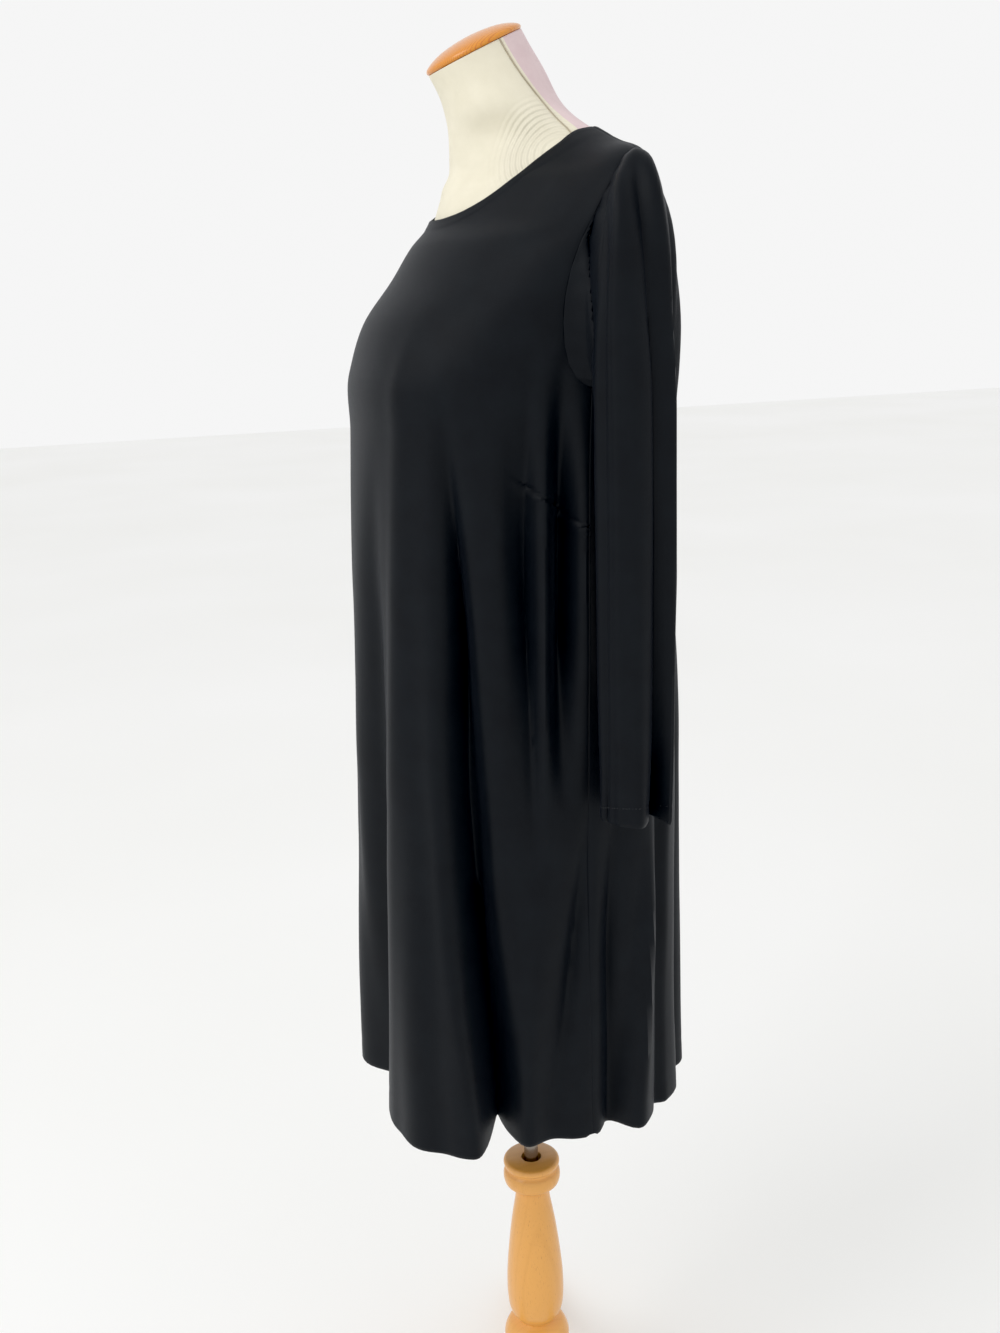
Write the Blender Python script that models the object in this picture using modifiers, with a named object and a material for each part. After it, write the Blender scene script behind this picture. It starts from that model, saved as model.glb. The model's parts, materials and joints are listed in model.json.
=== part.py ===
"""Shift dress worn by a limbless dress form on a turned wooden stand.

Metres, +Z up. The wearer's front faces -Y and the wearer's left is +X. The origin is on
the floor in the middle of the bounding box, and the pole stands a little off it.
"""

import math
from typing import NamedTuple

import bmesh
import bpy
from mathutils import Matrix, Vector

# Place of the pole and the heights of the dress
AXIS_X = 0.030
AXIS_Y = 0.043
HEM_Z = 0.52
UNDERARM_Z = 1.275
SHOULDER_TIP_Z = 1.459
NECK_SIDE_Z = 1.4965
NECK_FRONT_Z = 1.423
NECK_BACK_Z = 1.484
CUFF_Z = 0.875

# Cloth and gaps
WALL = 0.0016
SEAM_GAP = 0.0004
REST_LIFT = 0.0006
CLEARANCE = 0.0003
ARMHOLE_FRONT = 0.037
ARMHOLE_BACK = 0.030
SLEEVE_GAP = 0.0012
CUFF_SLOPE = 0.10
CAP_RINGS = 4
CAP_STEP = 0.006

# Mesh counts
FRONT_COLUMNS = 42
BACK_COLUMNS = 34
SKIRT_ROWS = 10
ARMHOLE_ROWS = 10
SHOULDER_ROWS = 4
SLEEVE_SIDES = 2 * ARMHOLE_ROWS
FORM_SIDES = 28

# Stand and form fittings
POLE_RADIUS = 0.008
BORE_RADIUS = POLE_RADIUS + CLEARANCE
MOUTH_RADIUS = 0.0115
MOUTH_DEPTH = 0.012
POLE_BOTTOM = 0.11
POLE_TOP = 0.96
COLUMN_TOP = 0.398
COLUMN_FOOT = 0.072
FORM_BOTTOM = 0.80
SCREW_Z = 0.375
SCREW_HEADING = 163
SCREW_RADIUS = 0.004
LEG_REACH = 0.29
LEG_THICKNESS = 0.024
HUB_RADIUS = 0.038
TURNED_STEPS = 26
CAP_RADIUS = 0.0483
CAP_TILT = 24.5

AXIS = Vector((AXIS_X, AXIS_Y, 0))


class Level(NamedTuple):
    """A level ring of the form, and how far the cloth hangs off it.

    round is 1 for an ellipse, more for a boxier ring and less for a pinched one. centre is
    the Y of the widest place, and front and back are the depths from there.
    """

    z: float
    round: float
    width: float
    centre: float
    front: float
    back: float
    off_side: float
    off_front: float
    off_back: float


LEVELS = (
    Level(0.52, 1.18, 0.140, 0.018, 0.105, 0.095, 0.018, 0.087, 0.048),
    Level(0.70, 1.16, 0.140, 0.019, 0.105, 0.095, 0.019, 0.084, 0.045),
    Level(0.80, 1.12, 0.138, 0.020, 0.106, 0.096, 0.021, 0.082, 0.043),
    Level(0.88, 1.12, 0.145, 0.020, 0.112, 0.102, 0.015, 0.074, 0.036),
    Level(0.98, 1.12, 0.138, 0.021, 0.108, 0.092, 0.022, 0.076, 0.044),
    Level(1.07, 1.12, 0.118, 0.022, 0.105, 0.075, 0.043, 0.077, 0.057),
    Level(1.16, 1.14, 0.130, 0.024, 0.124, 0.082, 0.032, 0.056, 0.046),
    Level(1.23, 1.18, 0.146, 0.027, 0.156, 0.092, 0.016, 0.022, 0.031),
    Level(1.285, 1.20, 0.156, 0.031, 0.176, 0.100, 0.006, 0.003, 0.018),
    Level(1.33, 1.12, 0.162, 0.038, 0.169, 0.099, 0.003, 0.0016, 0.009),
    Level(1.37, 1.02, 0.168, 0.047, 0.148, 0.090, 0.0026, 0.0020, 0.004),
    Level(1.40, 0.92, 0.174, 0.056, 0.137, 0.078, 0.0028, 0.0022, 0.0032),
    Level(1.417, 0.82, 0.176, 0.063, 0.129, 0.068, 0.0028, 0.0022, 0.0032),
    Level(1.435, 0.72, 0.174, 0.069, 0.128, 0.058, 0.0028, 0.0022, 0.0032),
    Level(1.450, 0.66, 0.166, 0.073, 0.128, 0.049, 0.0028, 0.0022, 0.0032),
    Level(1.465, 0.62, 0.148, 0.074, 0.124, 0.042, 0.0024, 0.0020, 0.0024),
    Level(1.480, 0.62, 0.121, 0.071, 0.121, 0.035, 0.0016, 0.0016, 0.0016),
    Level(1.492, 0.66, 0.096, 0.064, 0.115, 0.030, 0.0016, 0.0016, 0.0016),
    Level(1.503, 0.78, 0.077, 0.052, 0.105, 0.030, 0.0016, 0.0016, 0.0016),
)


class NecklinePoint(NamedTuple):
    """How far the neckline has risen from its middle, at a share of the half width."""

    share: float
    rise: float


NECKLINE = (
    NecklinePoint(0.00, 0.000),
    NecklinePoint(0.17, 0.022),
    NecklinePoint(0.28, 0.075),
    NecklinePoint(0.39, 0.205),
    NecklinePoint(0.50, 0.440),
    NecklinePoint(0.61, 0.680),
    NecklinePoint(0.72, 0.840),
    NecklinePoint(0.84, 0.940),
    NecklinePoint(1.00, 1.000),
)


class NeckRing(NamedTuple):
    """A ring of the bare neck, tilted towards the front. y and z are its middle."""

    y: float
    z: float
    tilt: float
    width: float
    depth: float


NECK_RINGS = (
    NeckRing(0.0005, 1.521, 6.0, 0.061, 0.0580),
    NeckRing(-0.0065, 1.545, 14.0, 0.053, 0.0545),
    NeckRing(-0.0195, 1.5720, CAP_TILT, 0.0470, 0.0475),
)


class Fold(NamedTuple):
    """A fold of the skirt. A negative depth is a trough and a positive one is a ridge.

    turn is its angle round the body, from 0 at the front to 90 at the wearer's left side:
    top_turn where it starts and hem_turn at the hem. It starts at start_z, has its whole
    depth at full_z and fades out at end_z, or runs through the hem if end_z is below it.
    """

    top_turn: float
    hem_turn: float
    start_z: float
    full_z: float
    end_z: float
    depth: float
    spread: float


FOLDS = (
    # Front, on the wearer's left
    Fold(8, -21, 1.27, 0.80, 0.0, 0.004, 7),
    Fold(20, -3, 1.26, 0.62, 0.0, -0.030, 11),
    Fold(33, 38, 1.24, 0.62, 0.0, 0.016, 12),
    Fold(50, 61, 1.28, 0.74, 0.0, -0.048, 4.4),
    Fold(67, 72, 1.30, 1.12, 0.80, -0.013, 4.2),
    Fold(81, 81, 1.27, 1.10, 0.83, -0.018, 3.6),
    Fold(88, 80, 0.90, 0.70, 0.0, -0.008, 4.5),
    # Front, on the wearer's right
    Fold(-30, -26, 1.24, 0.62, 0.0, 0.008, 13),
    Fold(-46, -50, 1.27, 0.70, 0.0, -0.036, 4.8),
    Fold(-63, -68, 1.29, 1.05, 0.66, -0.015, 4.5),
    Fold(-80, -82, 1.24, 0.98, 0.0, -0.014, 4.2),
    # Back
    Fold(97, 99, 0.92, 0.68, 0.0, -0.013, 5),
    Fold(119, 109, 1.20, 0.72, 0.0, 0.007, 5),
    Fold(126, 124, 1.24, 0.74, 0.0, -0.012, 6),
    Fold(148, 152, 1.30, 0.70, 0.0, -0.022, 6),
    Fold(170, 172, 1.32, 0.80, 0.0, 0.006, 7),
    Fold(-168, -170, 1.28, 0.72, 0.0, -0.018, 6),
    Fold(-138, -143, 1.31, 0.68, 0.0, -0.024, 5.5),
    Fold(-112, -115, 1.22, 0.74, 0.0, -0.017, 5),
)


class SleeveRing(NamedTuple):
    """A section of the left sleeve, from its outer to its inner line, centred at y."""

    outer_x: float
    outer_z: float
    inner_x: float
    inner_z: float
    y: float
    half_depth: float


SLEEVE_RINGS = (
    SleeveRing(0.1815, 1.461, 0.1665, 1.271, 0.0600, 0.0420),
    SleeveRing(0.1955, 1.457, 0.1700, 1.260, 0.0605, 0.0420),
    SleeveRing(0.2060, 1.442, 0.1722, 1.243, 0.0605, 0.0410),
    SleeveRing(0.2120, 1.418, 0.1730, 1.220, 0.0600, 0.0400),
    SleeveRing(0.2140, 1.383, 0.1735, 1.192, 0.0590, 0.0390),
    SleeveRing(0.2140, 1.340, 0.1735, 1.160, 0.0575, 0.0375),
    SleeveRing(0.2150, 1.290, 0.1735, 1.122, 0.0575, 0.0375),
    SleeveRing(0.2150, 1.235, 0.1735, 1.080, 0.0575, 0.0375),
    SleeveRing(0.2150, 1.170, 0.1735, 1.035, 0.0575, 0.0375),
    SleeveRing(0.2150, 1.095, 0.1735, 0.985, 0.0565, 0.0370),
    SleeveRing(0.2140, 1.020, 0.1735, 0.940, 0.0565, 0.0365),
    SleeveRing(0.2130, 0.945, 0.1735, 0.905, 0.0565, 0.0355),
    SleeveRing(0.2120, CUFF_Z, 0.1735, CUFF_Z, 0.0550, 0.0345),
)


class SleeveFold(NamedTuple):
    """A long fold of a sleeve: its turn from the outer line, positive to the front."""

    top_turn: float
    cuff_turn: float
    start: float
    full: float
    depth: float
    spread: float


SLEEVE_FOLDS = (
    SleeveFold(4, -24, 0.03, 0.40, -0.0085, 17),
    SleeveFold(58, 62, 0.02, 0.22, -0.0055, 13),
    SleeveFold(-62, -66, 0.05, 0.30, -0.0045, 13),
    SleeveFold(32, 22, 0.05, 0.50, 0.0035, 20),
)


class TurnedPoint(NamedTuple):
    """A corner of a turned profile."""

    radius: float
    z: float


COLUMN_PROFILE = (
    TurnedPoint(0.0285, COLUMN_TOP),
    TurnedPoint(0.0310, 0.3965),
    TurnedPoint(0.0320, 0.3935),
    TurnedPoint(0.0310, 0.3900),
    TurnedPoint(0.0288, 0.3880),
    TurnedPoint(0.0288, 0.3860),
    TurnedPoint(0.0312, 0.3835),
    TurnedPoint(0.0325, 0.3780),
    TurnedPoint(0.0318, 0.3715),
    TurnedPoint(0.0285, 0.3660),
    TurnedPoint(0.0205, 0.3635),
    TurnedPoint(0.0200, 0.3560),
    TurnedPoint(0.0222, 0.3440),
    TurnedPoint(0.0258, 0.3290),
    TurnedPoint(0.0292, 0.3080),
    TurnedPoint(0.0320, 0.2820),
    TurnedPoint(0.0331, 0.2560),
    TurnedPoint(0.0322, 0.2330),
    TurnedPoint(0.0300, 0.2100),
    TurnedPoint(0.0288, 0.1930),
    TurnedPoint(0.0300, 0.1870),
    TurnedPoint(0.0345, 0.1800),
    TurnedPoint(HUB_RADIUS, 0.1700),
    TurnedPoint(HUB_RADIUS, 0.0900),
    TurnedPoint(0.0330, 0.0780),
    TurnedPoint(0.0240, COLUMN_FOOT),
)

CAP_PROFILE = (
    TurnedPoint(0.0000, 0.0150),
    TurnedPoint(0.0150, 0.0143),
    TurnedPoint(0.0290, 0.0122),
    TurnedPoint(0.0400, 0.0088),
    TurnedPoint(0.0470, 0.0050),
    TurnedPoint(CAP_RADIUS, 0.0022),
    TurnedPoint(0.0475, 0.0000),
    TurnedPoint(0.0000, 0.0000),
)

SCREW_PROFILE = (
    TurnedPoint(0.0000, 0.0600),
    TurnedPoint(0.0075, 0.0592),
    TurnedPoint(0.0115, 0.0555),
    TurnedPoint(0.0115, 0.0490),
    TurnedPoint(0.0080, 0.0455),
    TurnedPoint(0.0070, 0.0380),
    TurnedPoint(SCREW_RADIUS - CLEARANCE, 0.0370),
    TurnedPoint(SCREW_RADIUS - CLEARANCE, BORE_RADIUS + CLEARANCE),
    TurnedPoint(0.0000, BORE_RADIUS + CLEARANCE),
)


class LegPoint(NamedTuple):
    """A corner of a leg's outline, out from the column and above the floor."""

    out: float
    z: float


LEG_UPPER = (
    LegPoint(HUB_RADIUS + CLEARANCE, 0.160),
    LegPoint(0.070, 0.146),
    LegPoint(0.110, 0.120),
    LegPoint(0.150, 0.090),
    LegPoint(0.190, 0.062),
    LegPoint(0.230, 0.042),
    LegPoint(0.260, 0.033),
    LegPoint(0.281, 0.026),
    LegPoint(LEG_REACH, 0.014),
    LegPoint(0.288, 0.000),
)
LEG_LOWER = (
    LegPoint(0.254, 0.000),
    LegPoint(0.235, 0.012),
    LegPoint(0.195, 0.028),
    LegPoint(0.155, 0.052),
    LegPoint(0.115, 0.078),
    LegPoint(0.075, 0.094),
    LegPoint(HUB_RADIUS + CLEARANCE, 0.098),
)
LEG_HEADINGS = (163, 283, 43)


class Finish(NamedTuple):
    """Colour, roughness and metallic value of a piece."""

    name: str
    colour: tuple
    roughness: float
    metallic: float = 0.0


FINISHES = {
    "jersey": Finish("black_jersey", (0.017, 0.019, 0.023, 1), 0.72),
    "cover": Finish("cream_cotton_cover", (0.80, 0.76, 0.63, 1), 0.85),
    "cap": Finish("varnished_neck_cap", (0.62, 0.24, 0.045, 1), 0.30),
    "beech": Finish("varnished_beech", (0.66, 0.38, 0.14, 1), 0.38),
    "steel": Finish("steel_tube", (0.72, 0.72, 0.71, 1), 0.22, 1.0),
}


# Curves through the tables


def between(rows, place, key=0):
    """The row at this place, read from a smooth curve through the rows."""
    last = len(rows) - 1
    low = max(0, min(last - 1, sum(row[key] <= place for row in rows) - 1))
    before, start, end, after = (
        rows[max(0, low - 1)],
        rows[low],
        rows[low + 1],
        rows[min(last, low + 2)],
    )
    span = end[key] - start[key]
    part = max(0.0, min(1.0, (place - start[key]) / span))
    values = []
    for a, b, c, d in zip(before, start, end, after):
        rise_b = (c - a) / (end[key] - before[key]) * span
        rise_c = (d - b) / (after[key] - start[key]) * span
        if (c - b) * (b - a) <= 0 and low > 0:
            rise_b = 0.0
        if (d - c) * (c - b) <= 0 and low + 2 <= last:
            rise_c = 0.0
        square, cube = part * part, part**3
        values.append(
            b * (2 * cube - 3 * square + 1)
            + rise_b * (cube - 2 * square + part)
            + c * (3 * square - 2 * cube)
            + rise_c * (cube - square)
        )
    return type(start)(*values)


def ease(value):
    """0 to 1 with a soft start and end."""
    value = max(0.0, min(1.0, value))
    return value * value * (3 - 2 * value)


def bulge(value, roundness):
    return value * (roundness + (1 - roundness) * value * value)


def ring_point(level, turn, worn):
    """A point of a level ring: of the cloth's inner face if worn, or of the form."""
    sine, cosine = math.sin(math.radians(turn)), math.cos(math.radians(turn))
    width = level.width + level.off_side * worn
    depth = level.front + level.off_front * worn
    if cosine < 0:
        depth = level.back + level.off_back * worn
    x = width * bulge(sine, level.round)
    y = level.centre - depth * bulge(cosine, level.round)
    return Vector((x, y, level.z))


def turn_gap(turn, other):
    return (turn - other + 180) % 360 - 180


def fold_depth(turn, z):
    """How far the folds move the cloth out of its plain ring here."""
    total = 0.0
    for fold in FOLDS:
        if not fold.end_z < z < fold.start_z:
            continue
        run = (fold.start_z - z) / (fold.start_z - HEM_Z)
        middle = fold.top_turn + (fold.hem_turn - fold.top_turn) * run
        size = ease((fold.start_z - z) / (fold.start_z - fold.full_z))
        if fold.end_z > HEM_Z:
            size *= ease((z - fold.end_z) / (fold.full_z - fold.end_z))
        total += fold.depth * size * math.exp(-((turn_gap(turn, middle) / fold.spread) ** 2))
    return total


def cloth_point(turn, z):
    """A point of the body cloth's inner face."""
    level = between(LEVELS, z)
    point = ring_point(level, turn, 1)
    along = ring_point(level, turn + 0.5, 1) - ring_point(level, turn - 0.5, 1)
    outward = Vector((along.y, -along.x, 0)).normalized()
    point += outward * fold_depth(turn, z)
    point.z += REST_LIFT
    return point


# The cut of the dress


def armhole_reach(z, limit):
    """Half the armhole's depth at this height."""
    middle = (SHOULDER_TIP_Z + UNDERARM_Z) / 2
    part = (z - middle) / (SHOULDER_TIP_Z - UNDERARM_Z) * 2
    return limit * math.sqrt(max(0.0, 1 - part * part))


def edge_turn(z, side):
    """Turn of the panel's edge from its own middle: side seam, armhole or shoulder seam.

    side is 1 for the front and -1 for the back.
    """
    reach = armhole_reach(z, ARMHOLE_FRONT if side > 0 else ARMHOLE_BACK)
    level = between(LEVELS, z)
    depth = level.front + level.off_front if side > 0 else level.back + level.off_back
    low, high = 0.0, 1.0
    for _ in range(24):
        cosine = (low + high) / 2
        if bulge(cosine, level.round) * depth < reach:
            low = cosine
        else:
            high = cosine
    turn = math.degrees(math.acos((low + high) / 2)) if reach > 0 else 90.0
    speed = (ring_point(level, 90, 1) - ring_point(level, 89, 1)).length
    return turn - SEAM_GAP / 2 / speed


def body_turn(turn, side):
    """The turn round the body of a place on a panel, from the panel's own middle."""
    return turn if side > 0 else 180 + turn


def column_turns(side, count):
    """Shares of the panel's half width, from -1 to 1, closer where the cloth folds."""
    steps = 720
    total = [0.0]
    for index in range(steps):
        cost = 0.0
        for z in (HEM_Z + 0.04, 0.78, 1.02):
            near = [
                cloth_point(body_turn(90 * (2 * (index + k) / steps - 1), side), z)
                for k in (-1, 0, 1)
            ]
            first, second = near[1] - near[0], near[2] - near[1]
            cost += second.length + 0.03 * first.angle(second)
        total.append(total[-1] + cost)
    shares = []
    place = 0
    for column in range(count + 1):
        wanted = total[-1] * column / count
        while place < steps - 1 and total[place + 1] < wanted:
            place += 1
        part = (wanted - total[place]) / (total[place + 1] - total[place])
        shares.append(2 * (place + part) / steps - 1)
    return shares


def row_shares():
    """Heights of the panel's rows at its edge, from the hem to the neck."""
    rows = [HEM_Z + (UNDERARM_Z - HEM_Z) * i / SKIRT_ROWS for i in range(SKIRT_ROWS)]
    for index in range(ARMHOLE_ROWS):
        part = (1 - math.cos(math.pi * index / ARMHOLE_ROWS)) / 2
        rows.append(UNDERARM_Z + (SHOULDER_TIP_Z - UNDERARM_Z) * part)
    for index in range(SHOULDER_ROWS + 1):
        part = index / SHOULDER_ROWS
        rows.append(SHOULDER_TIP_Z + (NECK_SIDE_Z - SHOULDER_TIP_Z) * part)
    return rows


def neckline(share, side):
    """Height of the neckline above this share of the panel's half width."""
    low = NECK_FRONT_Z if side > 0 else NECK_BACK_Z
    return low + (NECK_SIDE_Z - low) * between(NECKLINE, abs(share)).rise


def panel_rings(side, columns):
    """Rows of points of the front (1) or back (-1) panel's inner face, from the hem up."""
    shares = column_turns(side, columns)
    rings = []
    for height in row_shares():
        ring = []
        for share in shares:
            z = height
            if height > UNDERARM_Z:
                part = (height - UNDERARM_Z) / (NECK_SIDE_Z - UNDERARM_Z)
                z = UNDERARM_Z + (neckline(share, side) - UNDERARM_Z) * part
            turn = share * edge_turn(z, side)
            ring.append(cloth_point(body_turn(turn, side), z))
        rings.append(ring)
    return rings


def armhole_point(turn):
    """A point just outside the left armhole: 0 is the shoulder tip, 90 is the front."""
    part = (1 + math.cos(math.radians(turn))) / 2
    z = UNDERARM_Z + (SHOULDER_TIP_Z - UNDERARM_Z) * part
    side = 1 if math.sin(math.radians(turn)) >= 0 else -1
    edge = edge_turn(z, side)
    around = body_turn(edge, side) if side > 0 else 180 - edge
    point = cloth_point(around, z)
    along = cloth_point(around + 1, z) - cloth_point(around - 1, z)
    up = cloth_point(around, z + 0.003) - cloth_point(around, z - 0.003)
    outward = along.cross(up).normalized()
    return point + outward * (WALL + SLEEVE_GAP)


def sleeve_rings():
    """Sections of the left sleeve's inner face, from the armhole to the cuff."""
    turns = [360 * index / SLEEVE_SIDES for index in range(SLEEVE_SIDES)]
    seam = [armhole_point(turn) for turn in turns]
    rings = [seam]
    last = len(SLEEVE_RINGS) - 1
    for number, row in enumerate(SLEEVE_RINGS):
        free = ease((number + 0.6) / CAP_RINGS)
        down = number / last
        outer = Vector((row.outer_x, 0, row.outer_z))
        inner = Vector((row.inner_x, 0, row.inner_z))
        middle, reach = (outer + inner) / 2, (outer - inner) / 2
        ring = []
        for turn in turns:
            cosine, sine = math.cos(math.radians(turn)), math.sin(math.radians(turn))
            point = middle + reach * bulge(cosine, 1.06)
            point.y = row.y - row.half_depth * bulge(sine, 1.1)
            outward = reach.normalized() * cosine / max(0.2, reach.length * 8)
            outward.y = -sine
            point += outward.normalized() * sleeve_fold(turn, down)
            point.z -= CUFF_SLOPE * (point.y - row.y) * down
            ring.append(point)
        for index, start in enumerate(seam):
            held = start + Vector((CAP_STEP * (number + 1), 0, 0))
            ring[index] = held.lerp(ring[index], free)
        rings.append(ring)
    return rings


def sleeve_fold(turn, down):
    """How far the sleeve's folds move its cloth out here."""
    total = 0.0
    for fold in SLEEVE_FOLDS:
        middle = fold.top_turn + (fold.cuff_turn - fold.top_turn) * down
        size = ease((down - fold.start) / (fold.full - fold.start))
        total += fold.depth * size * math.exp(-((turn_gap(turn, middle) / fold.spread) ** 2))
    return total


# Mesh making


def new_object(name, mesh, finish, collection):
    obj = bpy.data.objects.new(name, mesh)
    collection.objects.link(obj)
    mesh.materials.append(material(finish))
    mesh.shade_smooth()
    mesh.set_sharp_from_angle(angle=math.radians(40))
    return obj


def material(key):
    finish = FINISHES[key]
    made = bpy.data.materials.get(finish.name)
    if made is None:
        made = bpy.data.materials.new(finish.name)
        made.use_nodes = True
        shader = made.node_tree.nodes["Principled BSDF"]
        shader.inputs["Base Color"].default_value = finish.colour
        shader.inputs["Roughness"].default_value = finish.roughness
        shader.inputs["Metallic"].default_value = finish.metallic
    return made


def loft(name, rings, finish, collection, around, capped=False):
    """A skin through rings of equally many points, which close round if around is set."""
    bm = bmesh.new()
    rows = [[bm.verts.new(point + AXIS) for point in ring] for ring in rings]
    count = len(rings[0])
    for lower, upper in zip(rows, rows[1:]):
        for index in range(count if around else count - 1):
            after = (index + 1) % count
            bm.faces.new((lower[index], lower[after], upper[after], upper[index]))
    if capped:
        bm.faces.new(reversed(rows[0]))
        bm.faces.new(rows[-1])
    mesh = bpy.data.meshes.new(name)
    bm.to_mesh(mesh)
    bm.free()
    return new_object(name, mesh, finish, collection)


def add_wall(obj):
    """Gives a skin its cloth thickness, outside of the skin."""
    wall = obj.modifiers.new("wall", "SOLIDIFY")
    wall.thickness = WALL
    wall.offset = 1.0
    return obj


def turned(name, profile, finish, collection, closed=False):
    """A piece turned on a lathe: its profile runs down the outer side."""
    bm = bmesh.new()
    corners = [bm.verts.new((point.radius, 0, point.z)) for point in profile]
    for start, end in zip(corners, corners[1:]):
        bm.edges.new((start, end))
    if closed:
        bm.edges.new((corners[-1], corners[0]))
    mesh = bpy.data.meshes.new(name)
    bm.to_mesh(mesh)
    bm.free()
    obj = new_object(name, mesh, finish, collection)
    screw = obj.modifiers.new("lathe", "SCREW")
    screw.steps = screw.render_steps = TURNED_STEPS
    screw.use_merge_vertices = True
    screw.merge_threshold = 0.00001
    screw.use_smooth_shade = True
    return obj


def cylinder(name, radius, low, high, collection, segments=24):
    """An upright cylinder on the local Z axis."""
    bm = bmesh.new()
    middle = Matrix.Translation((0, 0, (low + high) / 2))
    bmesh.ops.create_cone(
        bm,
        cap_ends=True,
        segments=segments,
        radius1=radius,
        radius2=radius,
        depth=high - low,
        matrix=middle,
    )
    mesh = bpy.data.meshes.new(name)
    bm.to_mesh(mesh)
    bm.free()
    obj = bpy.data.objects.new(name, mesh)
    collection.objects.link(obj)
    return obj


def cut(obj, cutter):
    """Takes the cutter's shape out of the object."""
    cutter.hide_render = True
    cutter.display_type = "WIRE"
    boolean = obj.modifiers.new("cut", "BOOLEAN")
    boolean.operation = "DIFFERENCE"
    boolean.object = cutter


# The pieces


def make_dress(collection):
    front = panel_rings(1, FRONT_COLUMNS)
    back = panel_rings(-1, BACK_COLUMNS)
    add_wall(loft("dress_front", front, "jersey", collection, around=False))
    add_wall(loft("dress_back", back, "jersey", collection, around=False))
    left = sleeve_rings()
    right = [[Vector((-p.x, p.y, p.z)) for p in reversed(ring)] for ring in left]
    add_wall(loft("sleeve_left", left, "jersey", collection, around=True))
    add_wall(loft("sleeve_right", right, "jersey", collection, around=True))


def neck_ring(row, turns):
    tilt = math.radians(row.tilt)
    ring = []
    for turn in turns:
        x = row.width * math.sin(turn)
        out = -row.depth * math.cos(turn)
        ring.append(
            Vector((x, row.y + out * math.cos(tilt), row.z + out * math.sin(tilt)))
        )
    return ring


def make_form(collection, cutters):
    turns = [360 * index / FORM_SIDES for index in range(FORM_SIDES)]
    rings = []
    heights = [FORM_BOTTOM] + [row.z for row in LEVELS if row.z > FORM_BOTTOM]
    for z in heights:
        level = between(LEVELS, z)
        rings.append([ring_point(level, turn, 0) for turn in turns])
    for row in NECK_RINGS:
        rings.append(neck_ring(row, [math.radians(turn) for turn in turns]))
    torso = loft("form_torso", rings, "cover", collection, around=True, capped=True)
    socket = cylinder(
        "socket_cutter", BORE_RADIUS, FORM_BOTTOM - 0.02, POLE_TOP + CLEARANCE, cutters
    )
    socket.location = AXIS
    cut(torso, socket)
    top = NECK_RINGS[-1]
    cap = turned("neck_cap", CAP_PROFILE, "cap", collection)
    tilt = math.radians(top.tilt)
    away = Vector((0, -math.sin(tilt), math.cos(tilt))) * CLEARANCE
    cap.location = AXIS + Vector((0, top.y, top.z)) + away
    cap.rotation_euler.x = tilt


def make_stand(collection, cutters):
    bore = (
        TurnedPoint(BORE_RADIUS, COLUMN_FOOT),
        TurnedPoint(BORE_RADIUS, COLUMN_TOP - MOUTH_DEPTH),
        TurnedPoint(MOUTH_RADIUS, COLUMN_TOP - MOUTH_DEPTH + 0.002),
        TurnedPoint(MOUTH_RADIUS, COLUMN_TOP),
    )
    column = turned("stand_column", COLUMN_PROFILE + bore, "beech", collection, closed=True)
    column.location = AXIS
    hole = cylinder("screw_hole_cutter", SCREW_RADIUS, 0.0, 0.05, cutters, 16)
    for obj in (hole, turned("clamp_screw", SCREW_PROFILE, "beech", collection)):
        obj.location = AXIS + Vector((0, 0, SCREW_Z))
        obj.rotation_euler = (0, math.pi / 2, math.radians(SCREW_HEADING))
    cut(column, hole)
    pole = cylinder("pole", POLE_RADIUS, POLE_BOTTOM, POLE_TOP, collection)
    pole.location = AXIS
    pole.data.materials.append(material("steel"))
    for number, heading in enumerate(LEG_HEADINGS, 1):
        make_leg(f"leg_{number}", heading, collection)


def make_leg(name, heading, collection):
    """A leg sawn from a board, with its outline in the upright plane of its heading."""
    outline = LEG_UPPER + LEG_LOWER
    curve = bpy.data.curves.new(name + "_outline", "CURVE")
    curve.dimensions = "2D"
    curve.fill_mode = "BOTH"
    curve.extrude = LEG_THICKNESS / 2
    spline = curve.splines.new("POLY")
    spline.points.add(len(outline) - 1)
    for point, corner in zip(spline.points, outline):
        point.co = (corner.out, corner.z, 0, 1)
    spline.use_cyclic_u = True
    guide = bpy.data.objects.new(name + "_outline", curve)
    collection.objects.link(guide)
    bpy.context.view_layer.update()
    evaluated = guide.evaluated_get(bpy.context.evaluated_depsgraph_get())
    mesh = bpy.data.meshes.new_from_object(evaluated)
    bpy.data.objects.remove(guide)
    bm = bmesh.new()
    bm.from_mesh(mesh)
    bmesh.ops.remove_doubles(bm, verts=bm.verts, dist=0.00001)
    bmesh.ops.recalc_face_normals(bm, faces=bm.faces)
    bm.to_mesh(mesh)
    bm.free()
    mesh.materials.clear()
    leg = new_object(name, mesh, "beech", collection)
    leg.location = AXIS
    leg.rotation_euler = (math.pi / 2, 0, math.radians(heading))


def main():
    for obj in list(bpy.data.objects):
        bpy.data.objects.remove(obj)
    collection = bpy.data.collections.new("shift_dress_on_dress_form")
    cutters = bpy.data.collections.new("cutters")
    for made in (collection, cutters):
        bpy.context.scene.collection.children.link(made)
    make_dress(collection)
    make_form(collection, cutters)
    make_stand(collection, cutters)


if __name__ == "__main__":
    main()
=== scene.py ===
"""Long-sleeved shift dress of black jersey, worn by a limbless dress form on a turned stand.

The front, the back and the sleeves follow one set of rings round the body, and the folds of
the hanging cloth are laid over them. Metres, +Z up, the wearer's front faces -Y and the
wearer's left is +X. Turns are degrees round the body: 0 is the front, 90 the left side.
"""

import json
import logging
import math
from dataclasses import dataclass
from enum import Enum
from functools import lru_cache
from typing import NamedTuple

import bmesh
import bpy
from mathutils import Matrix, Vector, noise

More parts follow.
